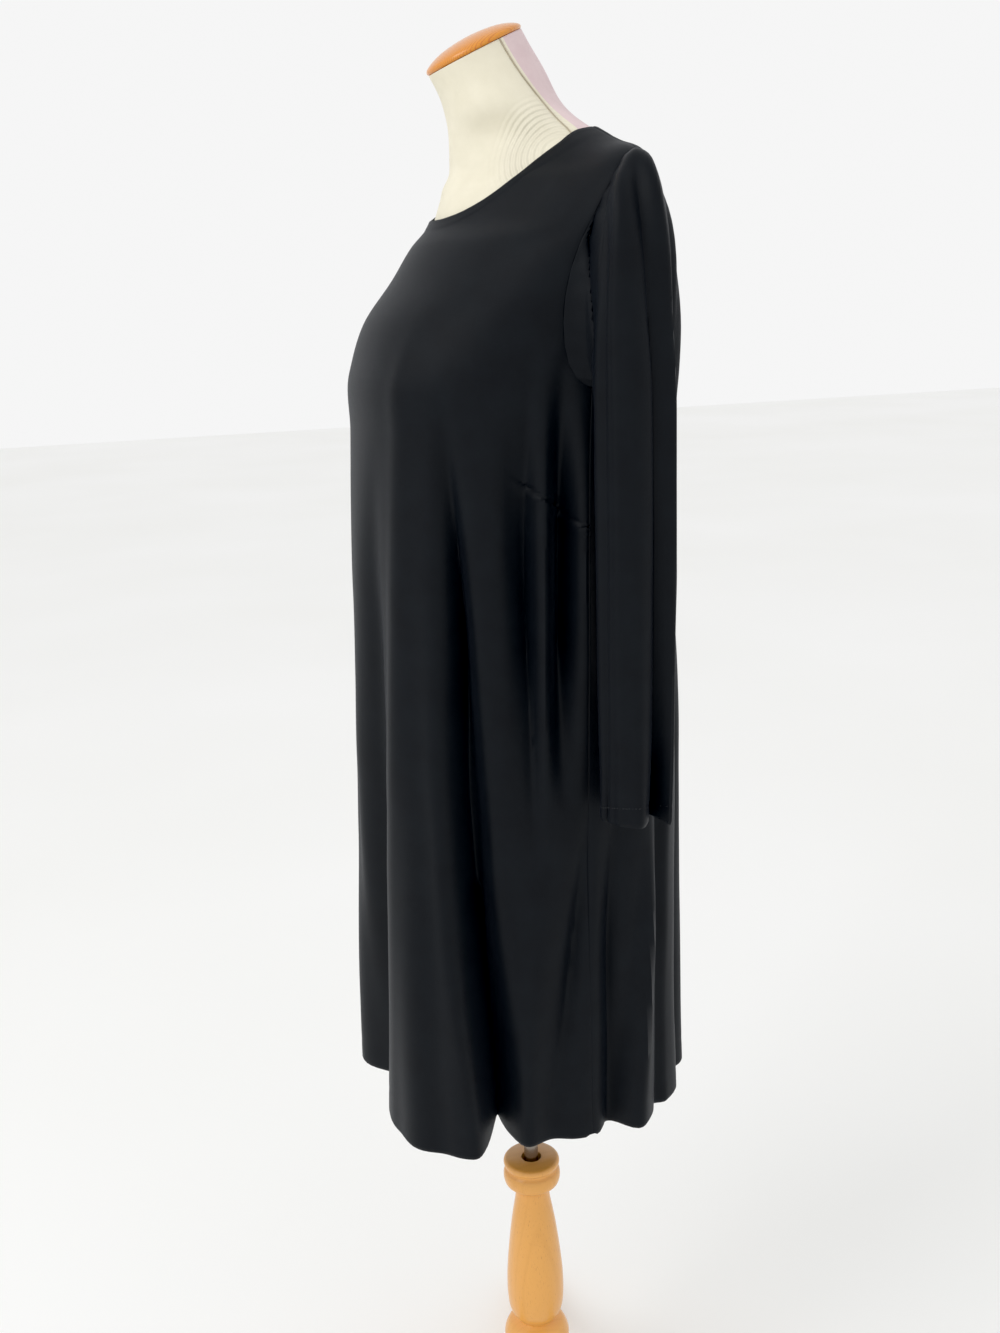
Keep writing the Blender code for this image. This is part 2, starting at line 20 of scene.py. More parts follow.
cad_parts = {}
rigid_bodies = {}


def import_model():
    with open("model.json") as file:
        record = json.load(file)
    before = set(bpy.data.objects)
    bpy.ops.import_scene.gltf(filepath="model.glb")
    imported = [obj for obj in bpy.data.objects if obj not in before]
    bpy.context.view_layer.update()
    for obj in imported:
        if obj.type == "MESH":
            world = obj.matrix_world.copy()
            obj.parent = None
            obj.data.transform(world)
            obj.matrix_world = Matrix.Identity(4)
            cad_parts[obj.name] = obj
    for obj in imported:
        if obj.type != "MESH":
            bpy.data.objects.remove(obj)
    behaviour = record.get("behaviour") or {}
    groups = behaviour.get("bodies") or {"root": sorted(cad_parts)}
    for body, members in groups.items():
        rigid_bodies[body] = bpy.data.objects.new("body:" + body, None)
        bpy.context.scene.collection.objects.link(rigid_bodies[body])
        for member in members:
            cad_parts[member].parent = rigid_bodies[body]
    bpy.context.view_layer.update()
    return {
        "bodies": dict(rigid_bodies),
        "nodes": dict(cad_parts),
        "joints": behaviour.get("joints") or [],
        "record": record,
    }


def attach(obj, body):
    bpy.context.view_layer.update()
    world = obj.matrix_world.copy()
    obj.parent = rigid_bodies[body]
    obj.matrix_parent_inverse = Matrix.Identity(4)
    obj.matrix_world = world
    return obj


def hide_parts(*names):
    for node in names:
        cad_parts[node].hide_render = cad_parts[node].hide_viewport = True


LOG = logging.getLogger("shift_dress")

# The pole stands here, and the body is measured from it.
AXIS = Vector((0.030, 0.043, 0.0))


class Side(Enum):
    """Which half of the body a panel covers, or which arm a sleeve is for."""

    FRONT = 1
    BACK = -1
    LEFT = 2
    RIGHT = -2


# Tables of the body and the cloth


class Level(NamedTuple):
    """A level ring of the form, and how far the cloth hangs off it.

    round is 1 for an ellipse, more for a boxier ring and less for a pinched one. centre is
    the Y of the widest place, and front and back are the depths from there.
    """

    z: float
    round: float
    width: float
    centre: float
    front: float
    back: float
    off_side: float
    off_front: float
    off_back: float


LEVELS = (
    Level(0.52, 1.18, 0.140, 0.018, 0.105, 0.095, 0.018, 0.087, 0.048),
    Level(0.70, 1.16, 0.140, 0.019, 0.105, 0.095, 0.019, 0.084, 0.045),
    Level(0.80, 1.12, 0.138, 0.020, 0.106, 0.096, 0.021, 0.082, 0.043),
    Level(0.88, 1.12, 0.145, 0.020, 0.112, 0.102, 0.015, 0.074, 0.036),
    Level(0.98, 1.12, 0.138, 0.021, 0.108, 0.092, 0.022, 0.076, 0.044),
    Level(1.07, 1.12, 0.118, 0.022, 0.105, 0.075, 0.043, 0.077, 0.057),
    Level(1.16, 1.14, 0.130, 0.024, 0.124, 0.082, 0.032, 0.056, 0.046),
    Level(1.23, 1.18, 0.146, 0.027, 0.156, 0.092, 0.016, 0.022, 0.031),
    Level(1.285, 1.20, 0.156, 0.031, 0.176, 0.100, 0.006, 0.003, 0.018),
    Level(1.33, 1.12, 0.162, 0.038, 0.169, 0.099, 0.003, 0.0016, 0.009),
    Level(1.37, 1.02, 0.168, 0.047, 0.148, 0.090, 0.0026, 0.0020, 0.004),
    Level(1.40, 0.92, 0.174, 0.056, 0.137, 0.078, 0.0028, 0.0022, 0.0032),
    Level(1.417, 0.82, 0.176, 0.063, 0.129, 0.068, 0.0028, 0.0022, 0.0032),
    Level(1.435, 0.72, 0.174, 0.069, 0.128, 0.058, 0.0028, 0.0022, 0.0032),
    Level(1.450, 0.66, 0.166, 0.073, 0.128, 0.049, 0.0028, 0.0022, 0.0032),
    Level(1.465, 0.62, 0.148, 0.074, 0.122, 0.042, 0.0024, 0.0020, 0.0024),
    Level(1.480, 0.62, 0.121, 0.071, 0.118, 0.035, 0.0016, 0.0016, 0.0016),
    Level(1.492, 0.66, 0.096, 0.064, 0.111, 0.030, 0.0016, 0.0016, 0.0016),
    Level(1.503, 0.78, 0.077, 0.052, 0.099, 0.030, 0.0016, 0.0016, 0.0016),
)


class NecklinePoint(NamedTuple):
    """How far the neckline has risen from its middle, at a share of the half width."""

    share: float
    rise: float


NECKLINE = (
    NecklinePoint(0.00, 0.000),
    NecklinePoint(0.10, 0.000),
    NecklinePoint(0.20, 0.022),
    NecklinePoint(0.30, 0.078),
    NecklinePoint(0.40, 0.200),
    NecklinePoint(0.50, 0.428),
    NecklinePoint(0.55, 0.578),
    NecklinePoint(0.60, 0.678),
    NecklinePoint(0.65, 0.755),
    NecklinePoint(0.70, 0.822),
    NecklinePoint(0.75, 0.883),
    NecklinePoint(0.80, 0.928),
    NecklinePoint(0.85, 0.961),
    NecklinePoint(0.90, 0.978),
    NecklinePoint(1.00, 1.000),
)


class NeckRing(NamedTuple):
    """A ring of the bare neck, tilted towards the front. y and z are its middle."""

    y: float
    z: float
    tilt: float
    width: float
    depth: float


NECK_RINGS = (
    NeckRing(0.0060, 1.521, 6.0, 0.060, 0.0535),
    NeckRing(-0.0025, 1.543, 13.0, 0.052, 0.0505),
    NeckRing(-0.0125, 1.560, 19.0, 0.0475, 0.0482),
    NeckRing(-0.0195, 1.5720, 24.5, 0.0470, 0.0475),
)


class Fold(NamedTuple):
    """A fold of the skirt. A negative depth is a trough and a positive one is a ridge.

    It runs from top_turn where it starts to hem_turn at the hem, has its whole depth at
    full_z, and fades out at end_z or runs through the hem if end_z is below it.
    """

    top_turn: float
    hem_turn: float
    start_z: float
    full_z: float
    end_z: float
    depth: float
    spread: float


FOLDS = (
    # Front, on the wearer's left
    Fold(8, -21, 1.27, 0.80, 0.0, 0.004, 7),
    Fold(20, -3, 1.26, 0.62, 0.0, -0.030, 11),
    Fold(33, 38, 1.24, 0.62, 0.0, 0.016, 12),
    Fold(50, 61, 1.28, 0.74, 0.0, -0.048, 4.4),
    Fold(71, 75, 1.30, 1.12, 0.78, -0.013, 3.8),
    Fold(83, 83, 1.28, 1.10, 0.82, -0.018, 3.4),
    Fold(88, 80, 0.90, 0.70, 0.0, -0.008, 4.5),
    # Front, on the wearer's right
    Fold(-30, -26, 1.24, 0.62, 0.0, 0.008, 13),
    Fold(-46, -50, 1.27, 0.70, 0.0, -0.036, 4.8),
    Fold(-63, -68, 1.29, 1.05, 0.66, -0.015, 4.5),
    Fold(-80, -82, 1.24, 0.98, 0.0, -0.014, 4.2),
    # Back
    Fold(97, 99, 0.92, 0.68, 0.0, -0.013, 5),
    Fold(119, 109, 1.20, 0.72, 0.0, 0.007, 5),
    Fold(126, 124, 1.24, 0.74, 0.0, -0.012, 6),
    Fold(148, 152, 1.30, 0.70, 0.0, -0.022, 6),
    Fold(170, 172, 1.32, 0.80, 0.0, 0.006, 7),
    Fold(-168, -170, 1.28, 0.72, 0.0, -0.018, 6),
    Fold(-138, -143, 1.31, 0.68, 0.0, -0.024, 5.5),
    Fold(-112, -115, 1.22, 0.74, 0.0, -0.017, 5),
)


# Small folds and creases over the main ones, in the same terms.
CREASES = (
    # Front, on the wearer's left
    Fold(45, 53, 1.24, 0.74, 0.0, 0.013, 5.0),
    Fold(49, 61, 1.300, 1.06, 0.0, -0.014, 3.0),
    Fold(62, 66, 0.80, 0.56, 0.0, -0.018, 4.0),
    Fold(53, 56.5, 0.84, 0.56, 0.0, 0.018, 2.8),
    Fold(74, 76.5, 1.32, 1.08, 0.76, -0.014, 2.2),
    Fold(78.5, 79, 1.28, 1.06, 0.80, 0.006, 2.4),
    Fold(83.5, 84, 1.33, 1.16, 0.82, -0.014, 2.6),
    Fold(89, 89, 1.28, 1.10, 0.86, 0.006, 2.4),
    Fold(34, 22, 1.36, 1.26, 0.0, 0.0030, 5.0),
    Fold(20, -8, 1.26, 1.00, 0.0, -0.0055, 5.0),
    Fold(27, 6, 1.22, 0.95, 0.60, -0.0018, 3.0),
    Fold(92, 80, 0.93, 0.74, 0.53, -0.0075, 2.2),
    Fold(78, 71, 0.86, 0.66, 0.0, 0.0030, 3.5),
    # Front, on the wearer's right
    Fold(-18, -12, 1.24, 0.90, 0.0, -0.0040, 5.0),
    Fold(-40, -43, 1.25, 0.80, 0.0, 0.0090, 5.0),
    Fold(-48, -51, 1.300, 1.02, 0.0, -0.0100, 3.0),
    Fold(-65, -70, 1.300, 1.12, 0.62, -0.0080, 2.6),
    Fold(-74, -74, 1.24, 1.02, 0.0, 0.0040, 3.0),
    Fold(-84, -86, 1.26, 1.06, 0.0, -0.0070, 2.6),
    # Back
    Fold(102, 97, 0.97, 0.74, 0.0, -0.0045, 2.4),
    Fold(119, 101, 0.98, 0.70, 0.0, -0.0060, 3.8),
    Fold(125, 106, 0.96, 0.68, 0.0, 0.0040, 3.8),
    Fold(140, 132, 0.90, 0.60, 0.0, -0.0070, 16.0),
    Fold(132, 128, 1.25, 0.90, 0.0, 0.0045, 3.5),
    Fold(149, 154, 1.30, 1.00, 0.0, -0.0080, 3.0),
    Fold(160, 163, 1.24, 0.90, 0.0, 0.0050, 4.0),
    Fold(-167, -170, 1.27, 0.95, 0.0, -0.0080, 3.0),
    Fold(-155, -157, 1.25, 0.80, 0.0, 0.0070, 5.0),
    Fold(-139, -145, 1.30, 1.00, 0.0, -0.0090, 3.0),
    Fold(-125, -129, 1.24, 0.85, 0.0, 0.0055, 4.0),
    Fold(-111, -114, 1.22, 0.95, 0.0, -0.0080, 2.8),
    Fold(-98, -101, 1.22, 0.86, 0.0, 0.0050, 3.5),
)


class SleeveRing(NamedTuple):
    """A section of the left sleeve, from its outer to its inner line, centred at y."""

    number: float
    outer_x: float
    outer_z: float
    inner_x: float
    inner_z: float
    y: float
    half_depth: float


SLEEVE_RINGS = (
    SleeveRing(0, 0.1815, 1.461, 0.1665, 1.271, 0.0600, 0.0420),
    SleeveRing(1, 0.1955, 1.457, 0.1700, 1.260, 0.0605, 0.0420),
    SleeveRing(2, 0.2060, 1.442, 0.1722, 1.243, 0.0605, 0.0410),
    SleeveRing(3, 0.2120, 1.418, 0.1730, 1.220, 0.0600, 0.0400),
    SleeveRing(4, 0.2140, 1.383, 0.1735, 1.192, 0.0590, 0.0390),
    SleeveRing(5, 0.2140, 1.340, 0.1735, 1.160, 0.0575, 0.0375),
    SleeveRing(6, 0.2150, 1.290, 0.1735, 1.122, 0.0575, 0.0375),
    SleeveRing(7, 0.2150, 1.235, 0.1735, 1.080, 0.0575, 0.0375),
    SleeveRing(8, 0.2150, 1.170, 0.1735, 1.035, 0.0575, 0.0375),
    SleeveRing(9, 0.2150, 1.095, 0.1735, 0.985, 0.0565, 0.0370),
    SleeveRing(10, 0.2140, 1.020, 0.1735, 0.940, 0.0565, 0.0365),
    SleeveRing(11, 0.2130, 0.945, 0.1735, 0.905, 0.0565, 0.0355),
    SleeveRing(12, 0.2120, 0.875, 0.1735, 0.875, 0.0550, 0.0345),
)


class SleeveFold(NamedTuple):
    """A long fold of a sleeve: its turn from the outer line, positive to the front."""

    top_turn: float
    cuff_turn: float
    start: float
    full: float
    depth: float
    spread: float


SLEEVE_FOLDS = (
    SleeveFold(4, -24, 0.03, 0.40, -0.0085, 17),
    SleeveFold(58, 62, 0.02, 0.22, -0.0055, 13),
    SleeveFold(-62, -66, 0.05, 0.30, -0.0045, 13),
    SleeveFold(32, 22, 0.05, 0.50, 0.0035, 20),
)

# Small creases of the sleeve over the main folds, in the same terms.
SLEEVE_CREASES = (
    SleeveFold(9, -24, 0.06, 0.26, -0.0200, 11),
    SleeveFold(36, 8, 0.00, 0.16, 0.0050, 12),
    SleeveFold(40, 46, 0.02, 0.16, -0.0022, 6),
    SleeveFold(-9, -42, 0.04, 0.22, 0.0090, 8),
    SleeveFold(-34, -62, 0.04, 0.24, -0.0060, 8),
    SleeveFold(96, 104, 0.05, 0.30, -0.0040, 10),
    SleeveFold(150, 158, 0.10, 0.40, -0.0050, 12),
    SleeveFold(-118, -110, 0.10, 0.40, -0.0045, 12),
)


class TurnedPoint(NamedTuple):
    """A corner of a turned profile."""

    z: float
    radius: float


COLUMN_PROFILE = (
    TurnedPoint(0.0720, 0.0240),
    TurnedPoint(0.0780, 0.0330),
    TurnedPoint(0.0900, 0.0380),
    TurnedPoint(0.1620, 0.0380),
    TurnedPoint(0.1700, 0.0362),
    TurnedPoint(0.1775, 0.0318),
    TurnedPoint(0.1815, 0.0255),
    TurnedPoint(0.1840, 0.0222),
    TurnedPoint(0.1870, 0.0238),
    TurnedPoint(0.1915, 0.0275),
    TurnedPoint(0.1980, 0.0303),
    TurnedPoint(0.2080, 0.0321),
    TurnedPoint(0.2250, 0.0330),
    TurnedPoint(0.2450, 0.0326),
    TurnedPoint(0.2710, 0.0305),
    TurnedPoint(0.3080, 0.0262),
    TurnedPoint(0.3290, 0.0230),
    TurnedPoint(0.3440, 0.0204),
    TurnedPoint(0.3560, 0.0193),
    TurnedPoint(0.3635, 0.0196),
    TurnedPoint(0.3660, 0.0285),
    TurnedPoint(0.3715, 0.0318),
    TurnedPoint(0.3780, 0.0325),
    TurnedPoint(0.3835, 0.0312),
    TurnedPoint(0.3860, 0.0288),
    TurnedPoint(0.3880, 0.0288),
    TurnedPoint(0.3900, 0.0310),
    TurnedPoint(0.3935, 0.0320),
    TurnedPoint(0.3965, 0.0310),
    TurnedPoint(0.3980, 0.0285),
)

CAP_PROFILE = (
    TurnedPoint(0.0000, 0.0000),
    TurnedPoint(0.0000, 0.0462),
    TurnedPoint(0.0004, 0.0475),
    TurnedPoint(0.0012, 0.0481),
    TurnedPoint(0.0022, 0.0483),
    TurnedPoint(0.0036, 0.0479),
    TurnedPoint(0.0050, 0.0468),
    TurnedPoint(0.0070, 0.0437),
    TurnedPoint(0.0088, 0.0398),
    TurnedPoint(0.0107, 0.0346),
    TurnedPoint(0.0122, 0.0288),
    TurnedPoint(0.0134, 0.0222),
    TurnedPoint(0.0143, 0.0148),
    TurnedPoint(0.0148, 0.0075),
    TurnedPoint(0.0150, 0.0000),
)

SCREW_PROFILE = (
    TurnedPoint(0.0086, 0.0000),
    TurnedPoint(0.0086, 0.0037),
    TurnedPoint(0.0370, 0.0037),
    TurnedPoint(0.0376, 0.0066),
    TurnedPoint(0.0384, 0.0071),
    TurnedPoint(0.0450, 0.0078),
    TurnedPoint(0.0462, 0.0084),
    TurnedPoint(0.0484, 0.0110),
    TurnedPoint(0.0500, 0.0115),
    TurnedPoint(0.0545, 0.0115),
    TurnedPoint(0.0562, 0.0111),
    TurnedPoint(0.0586, 0.0090),
    TurnedPoint(0.0595, 0.0064),
    TurnedPoint(0.0600, 0.0000),
)


class LegPoint(NamedTuple):
    """A corner of a leg's outline, out from the column and above the floor."""

    out: float
    z: float


LEG_OUTLINE = (
    LegPoint(0.0383, 0.160),
    LegPoint(0.070, 0.146),
    LegPoint(0.110, 0.120),
    LegPoint(0.150, 0.090),
    LegPoint(0.190, 0.062),
    LegPoint(0.230, 0.042),
    LegPoint(0.260, 0.033),
    LegPoint(0.281, 0.026),
    LegPoint(0.290, 0.014),
    LegPoint(0.288, 0.000),
    LegPoint(0.254, 0.000),
    LegPoint(0.235, 0.012),
    LegPoint(0.195, 0.028),
    LegPoint(0.155, 0.052),
    LegPoint(0.115, 0.078),
    LegPoint(0.075, 0.094),
    LegPoint(0.0383, 0.098),
)


# Curves and meshes


def between(rows: tuple, place: float) -> NamedTuple:
    """Reads a table on a smooth curve through its rows.

    Args:
        rows: Rows in rising order of their first column.
        place: The value of the first column to read at.

    Returns:
        A row of the same kind at that place.
    """
    last = len(rows) - 1
    low = max(0, min(last - 1, sum(row[0] <= place for row in rows) - 1))
    before, start, end, after = (
        rows[max(0, low - 1)],
        rows[low],
        rows[low + 1],
        rows[min(last, low + 2)],
    )
    span = end[0] - start[0]
    part = max(0.0, min(1.0, (place - start[0]) / span))
    square, cube = part * part, part**3
    values = []
    for a, b, c, d in zip(before, start, end, after):
        rise_b = (c - a) / (end[0] - before[0]) * span
        rise_c = (d - b) / (after[0] - start[0]) * span
        if (c - b) * (b - a) <= 0 and low > 0:
            rise_b = 0.0
        if (d - c) * (c - b) <= 0 and low + 2 <= last:
            rise_c = 0.0
        values.append(
            b * (2 * cube - 3 * square + 1)
            + rise_b * (cube - 2 * square + part)
            + c * (3 * square - 2 * cube)
            + rise_c * (cube - square)
        )
    return type(start)(*values)


def ease(value: float) -> float:
    """0 to 1 with a soft start and end."""
    value = max(0.0, min(1.0, value))
    return value * value * (3 - 2 * value)


def hump(distance: float, width: float) -> float:
    """1 on a line, falling softly to 0 at about twice the width from it."""
    return math.exp(-((distance / width) ** 2))


def bulge(value: float, roundness: float) -> float:
    """A sine or cosine made boxier or more pinched."""
    return value * (roundness + (1 - roundness) * value * value)


def turn_gap(turn: float, other: float) -> float:
    """The signed angle from one turn to another, the short way round."""
    return (turn - other + 180) % 360 - 180


def flat_measure(rows: list[list[Vector]]) -> tuple[list[list[float]], list[list[float]]]:
    """Measures a cloth's points along and across, as a tape laid on it would.

    Args:
        rows: Rows of equally many points.

    Returns:
        Metres across from the middle column, and metres along from the first row.
    """
    middle = len(rows[0]) // 2
    across, along = [], []
    for index, row in enumerate(rows):
        run = [0.0]
        for start, end in zip(row, row[1:]):
            run.append(run[-1] + (end - start).length)
        across.append([value - run[middle] for value in run])
        if index == 0:
            along.append([0.0] * len(row))
        else:
            under, here = rows[index - 1], along[index - 1]
            along.append([v + (p - q).length for v, p, q in zip(here, row, under)])
    return across, along


def relieve(rows: list[list[Vector]], relief: list[list[float]], closed: bool) -> None:
    """Moves a cloth's points out along its own normals.

    Args:
        rows: Rows of points, changed in place.
        relief: How far out each point goes, in metres.
        closed: Whether each row closes on itself, its last point on its first.
    """
    normals = []
    last = len(rows) - 1
    for index, row in enumerate(rows):
        under, over = rows[max(0, index - 1)], rows[min(last, index + 1)]
        end = len(row) - 1
        line = []
        for column in range(len(row)):
            back, ahead = max(0, column - 1), min(end, column + 1)
            if closed and column in (0, end):
                back, ahead = end - 1, 1
            along = over[column] - under[column]
            line.append((row[ahead] - row[back]).cross(along).normalized())
        normals.append(line)
    for row, normal, out in zip(rows, normals, relief):
        for column, point in enumerate(row):
            row[column] = point + normal[column] * out[column]


def grid_skin(
    name: str, rows: list[list[Vector]], closed: bool, zones: list[int] | None = None
) -> bpy.types.Object:
    """Lays a grid over rows of points, and keeps its flat measure as the UV map "cut".

    Args:
        name: The piece's name.
        rows: Rows of points round the pole's axis.
        closed: Whether each row closes on itself, its last point on its first.
        zones: The material number of each column of faces, or none if they are all 0.

    Returns:
        The piece, linked to the scene.
    """
    across, along = len(rows[0]) - 1, len(rows) - 1
    cut_u, cut_v = flat_measure(rows)
    bm = bmesh.new()
    bmesh.ops.create_grid(bm, x_segments=across, y_segments=along, size=0.5)
    places = {}
    for vert in bm.verts:
        column = round((vert.co.x + 0.5) * across)
        row = round((vert.co.y + 0.5) * along)
        places[vert] = (row, column)
        vert.co = rows[row][column] + AXIS
    cut = bm.loops.layers.uv.new("cut")
    for face in bm.faces:
        if zones:
            face.material_index = zones[min(places[vert][1] for vert in face.verts)]
        for loop in face.loops:
            row, column = places[loop.vert]
            loop[cut].uv = (cut_u[row][column], cut_v[row][column])
    if closed:
        bmesh.ops.remove_doubles(bm, verts=bm.verts, dist=0.000001)
    return finish_mesh(name, bm)


def finish_mesh(name: str, bm: bmesh.types.BMesh, sharp: float = 40.0) -> bpy.types.Object:
    """Turns a bmesh into a smooth-shaded object at the origin.

    Args:
        name: The piece's name.
        bm: The mesh, which is freed.
        sharp: Edges bent more than these degrees stay sharp.

    Returns:
        The piece, linked to the scene.
    """
    mesh = bpy.data.meshes.new(name)
    bm.to_mesh(mesh)
    bm.free()
    mesh.shade_smooth()
    mesh.set_sharp_from_angle(angle=math.radians(sharp))
    piece = bpy.data.objects.new(name, mesh)
    bpy.context.scene.collection.objects.link(piece)
    return piece


def turned(name: str, profile: tuple, steps: int, place: Matrix, closed: bool = False) -> bpy.types.Object:
    """Turns a profile on a lathe.

    Args:
        name: The piece's name.
        profile: Corners with z and radius, along the local Z axis.
        steps: Facets round the piece.
        place: Where the piece goes.
        closed: Whether the profile closes on itself, as round a bore.

    Returns:
        The piece, linked to the scene.
    """
    bm = bmesh.new()
    corners = [bm.verts.new((point.radius, 0.0, point.z)) for point in profile]
    for start, end in zip(corners, corners[1:]):
        bm.edges.new((start, end))
    if closed:
        bm.edges.new((corners[-1], corners[0]))
    bmesh.ops.spin(
        bm,
        geom=bm.verts[:] + bm.edges[:],
        cent=(0, 0, 0),
        axis=(0, 0, 1),
        dvec=(0, 0, 0),
        angle=math.tau,
        steps=steps,
        use_merge=True,
        use_duplicate=False,
    )
    bmesh.ops.remove_doubles(bm, verts=bm.verts, dist=0.000005)
    bmesh.ops.recalc_face_normals(bm, faces=bm.faces)
    bmesh.ops.transform(bm, matrix=place, verts=bm.verts)
    return finish_mesh(name, bm)


# Finishes


def linear(code: str) -> tuple[float, float, float, float]:
    """Turns an sRGB hex value into a linear colour."""
    parts = [int(code[place : place + 2], 16) / 255 for place in (1, 3, 5)]
    values = [p / 12.92 if p <= 0.04045 else ((p + 0.055) / 1.055) ** 2.4 for p in parts]
    return (*values, 1.0)


def add_node(tree: bpy.types.NodeTree, kind: str, links: dict, **settings: object) -> bpy.types.Node:
    """Adds a node with its settings and its inputs.

    Args:
        tree: The material's node tree.
        kind: The node's type.
        links: Input name or number, and the value or the output that goes in.
        settings: Attributes of the node.

    Returns:
        The node.
    """
    node = tree.nodes.new(kind)
    for name, value in settings.items():
        setattr(node, name, value)
    for name, value in links.items():
        if isinstance(value, bpy.types.NodeSocket):
            tree.links.new(value, node.inputs[name])
        else:
            node.inputs[name].default_value = value
    return node


def new_material(name: str, values: dict) -> tuple[bpy.types.Material, bpy.types.Node]:
    """Makes a material whose shader has these uniform values.

    Args:
        name: The material's name.
        values: Input name and value of the Principled shader.

    Returns:
        The material and its shader node.
    """
    material = bpy.data.materials.new(name)
    material.use_nodes = True
    shader = material.node_tree.nodes["Principled BSDF"]
    for key, value in values.items():
        shader.inputs[key].default_value = value
    return material, shader


def ramp(
    tree: bpy.types.NodeTree, value: bpy.types.NodeSocket, stops: list[tuple[float, str]]
) -> bpy.types.NodeSocket:
    """Maps a value to hex colours at these stops.

    Args:
        tree: The material's node tree.
        value: The output that goes in.
        stops: Place and hex colour of each stop, in rising order.

    Returns:
        The colour output.
    """
    node = add_node(tree, "ShaderNodeValToRGB", {"Fac": value})
    elements = node.color_ramp.elements
    while len(elements) < len(stops):
        elements.new(1.0)
    for element, (place, code) in zip(elements, stops):
        element.position = place
        element.color = linear(code)
    return node.outputs["Color"]


# The shoulder that the tight cover's puckers curve round, measured from the pole.
PUCKER_CORNER = (0.083, 0.034, 1.468)


@dataclass(frozen=True)
class KnitFinish:
    """A plain knit in the piece's own flat measure: rows of small V loops.

    The loops of both real knits are under 0.8 mm, too fine to show from here, so they are
    drawn at wale_mm, which reads as a soft, even cloth surface.
    """

    name: str
    dark: str
    light: str
    roughness: float
    specular: float
    sheen: float
    sheen_tint: str
    wale_mm: float
    course_mm: float
    relief_mm: float
    mottle_mm: float
    pucker_mm: float

    def make(self) -> bpy.types.Material:
        """Makes the knit: loops as bump, and a faint mottling of the dye."""
        material, shader = new_material(
            self.name,
            {
                "Roughness": self.roughness,
                "Specular IOR Level": self.specular,
                "Sheen Weight": self.sheen,
                "Sheen Roughness": 0.4,
                "Sheen Tint": linear(self.sheen_tint),
            },
        )
        tree = material.node_tree
        cut = add_node(tree, "ShaderNodeUVMap", {}, uv_map="cut")
        flat = add_node(tree, "ShaderNodeSeparateXYZ", {0: cut.outputs["UV"]})
        half = self.wale_mm / 2000
        leg = add_node(tree, "ShaderNodeMath", {0: flat.outputs["X"], 1: half}, operation="PINGPONG")
        wale = add_node(tree, "ShaderNodeMath", {0: leg.outputs[0], 1: math.pi / half}, operation="MULTIPLY")
        rib = add_node(tree, "ShaderNodeMath", {0: wale.outputs[0]}, operation="SINE")
        course = add_node(
            tree,
            "ShaderNodeMath",
            {0: flat.outputs["Y"], 1: math.tau / (self.course_mm / 1000), 2: wale.outputs[0]},
            operation="MULTIPLY_ADD",
        )
        loop = add_node(tree, "ShaderNodeMath", {0: course.outputs[0]}, operation="SINE")
        height = add_node(
            tree, "ShaderNodeMath", {0: loop.outputs[0], 1: 0.5, 2: rib.outputs[0]}, operation="MULTIPLY_ADD"
        )
        bump = add_node(
            tree,
            "ShaderNodeBump",
            {"Strength": 0.35, "Distance": self.relief_mm / 1000, "Height": height.outputs[0]},
        )
        place = add_node(tree, "ShaderNodeTexCoord", {})
        if self.pucker_mm:
            bump = self.pucker(tree, place.outputs["Object"], bump.outputs[0])
        tree.links.new(bump.outputs[0], shader.inputs["Normal"])
        mottle = add_node(
            tree,
            "ShaderNodeTexNoise",
            {
                "Vector": place.outputs["Object"],
                "Scale": 1000 / self.mottle_mm,
                "Detail": 4.0,
                "Roughness": 0.6,
            },
        )
        colour = ramp(tree, mottle.outputs[0], [(0.3, self.dark), (0.7, self.light)])
        tree.links.new(colour, shader.inputs["Base Color"])
        return material

    def pucker(
        self, tree: bpy.types.NodeTree, place: bpy.types.NodeSocket, normal: bpy.types.NodeSocket
    ) -> bpy.types.Node:
        """Adds fine arcs where the tight cover is pulled round the root of the neck.

        Args:
            tree: The material's node tree.
            place: The Object coordinates.
            normal: The knit's own bumped normal.

        Returns:
            The bump node whose normal has both.
        """
        centred = add_node(tree, "ShaderNodeVectorMath", {0: place, 1: AXIS}, operation="SUBTRACT")
        parts = add_node(tree, "ShaderNodeSeparateXYZ", {0: centred.outputs[0]})
        half = add_node(tree, "ShaderNodeMath", {0: parts.outputs["X"]}, operation="ABSOLUTE")
        folded = add_node(
            tree,
            "ShaderNodeCombineXYZ",
            {"X": half.outputs[0], "Y": parts.outputs["Y"], "Z": parts.outputs["Z"]},
        )
        reach = add_node(
            tree, "ShaderNodeVectorMath", {0: folded.outputs[0], 1: PUCKER_CORNER}, operation="DISTANCE"
        )
        wave = add_node(
            tree,
            "ShaderNodeMath",
            {0: reach.outputs["Value"], 1: math.tau * 1000 / self.pucker_mm},
            operation="MULTIPLY",
        )
        arcs = add_node(tree, "ShaderNodeMath", {0: wave.outputs[0]}, operation="SINE")
        near = add_node(
            tree,
            "ShaderNodeMapRange",
            {
                "Value": reach.outputs["Value"],
                "From Min": 0.040,
                "From Max": 0.075,
                "To Min": 1.0,
                "To Max": 0.0,
            },
            interpolation_type="SMOOTHSTEP",
        )
        front = add_node(
            tree,
            "ShaderNodeMapRange",
            {"Value": parts.outputs["Y"], "From Min": 0.035, "From Max": 0.05, "To Min": 1.0, "To Max": 0.0},
        )
        shown = add_node(
            tree, "ShaderNodeMath", {0: near.outputs[0], 1: front.outputs[0]}, operation="MULTIPLY"
        )
        height = add_node(
            tree, "ShaderNodeMath", {0: arcs.outputs[0], 1: shown.outputs[0]}, operation="MULTIPLY"
        )
        return add_node(
            tree,
            "ShaderNodeBump",
            {"Strength": 0.8, "Distance": 0.0008, "Height": height.outputs[0], "Normal": normal},
        )


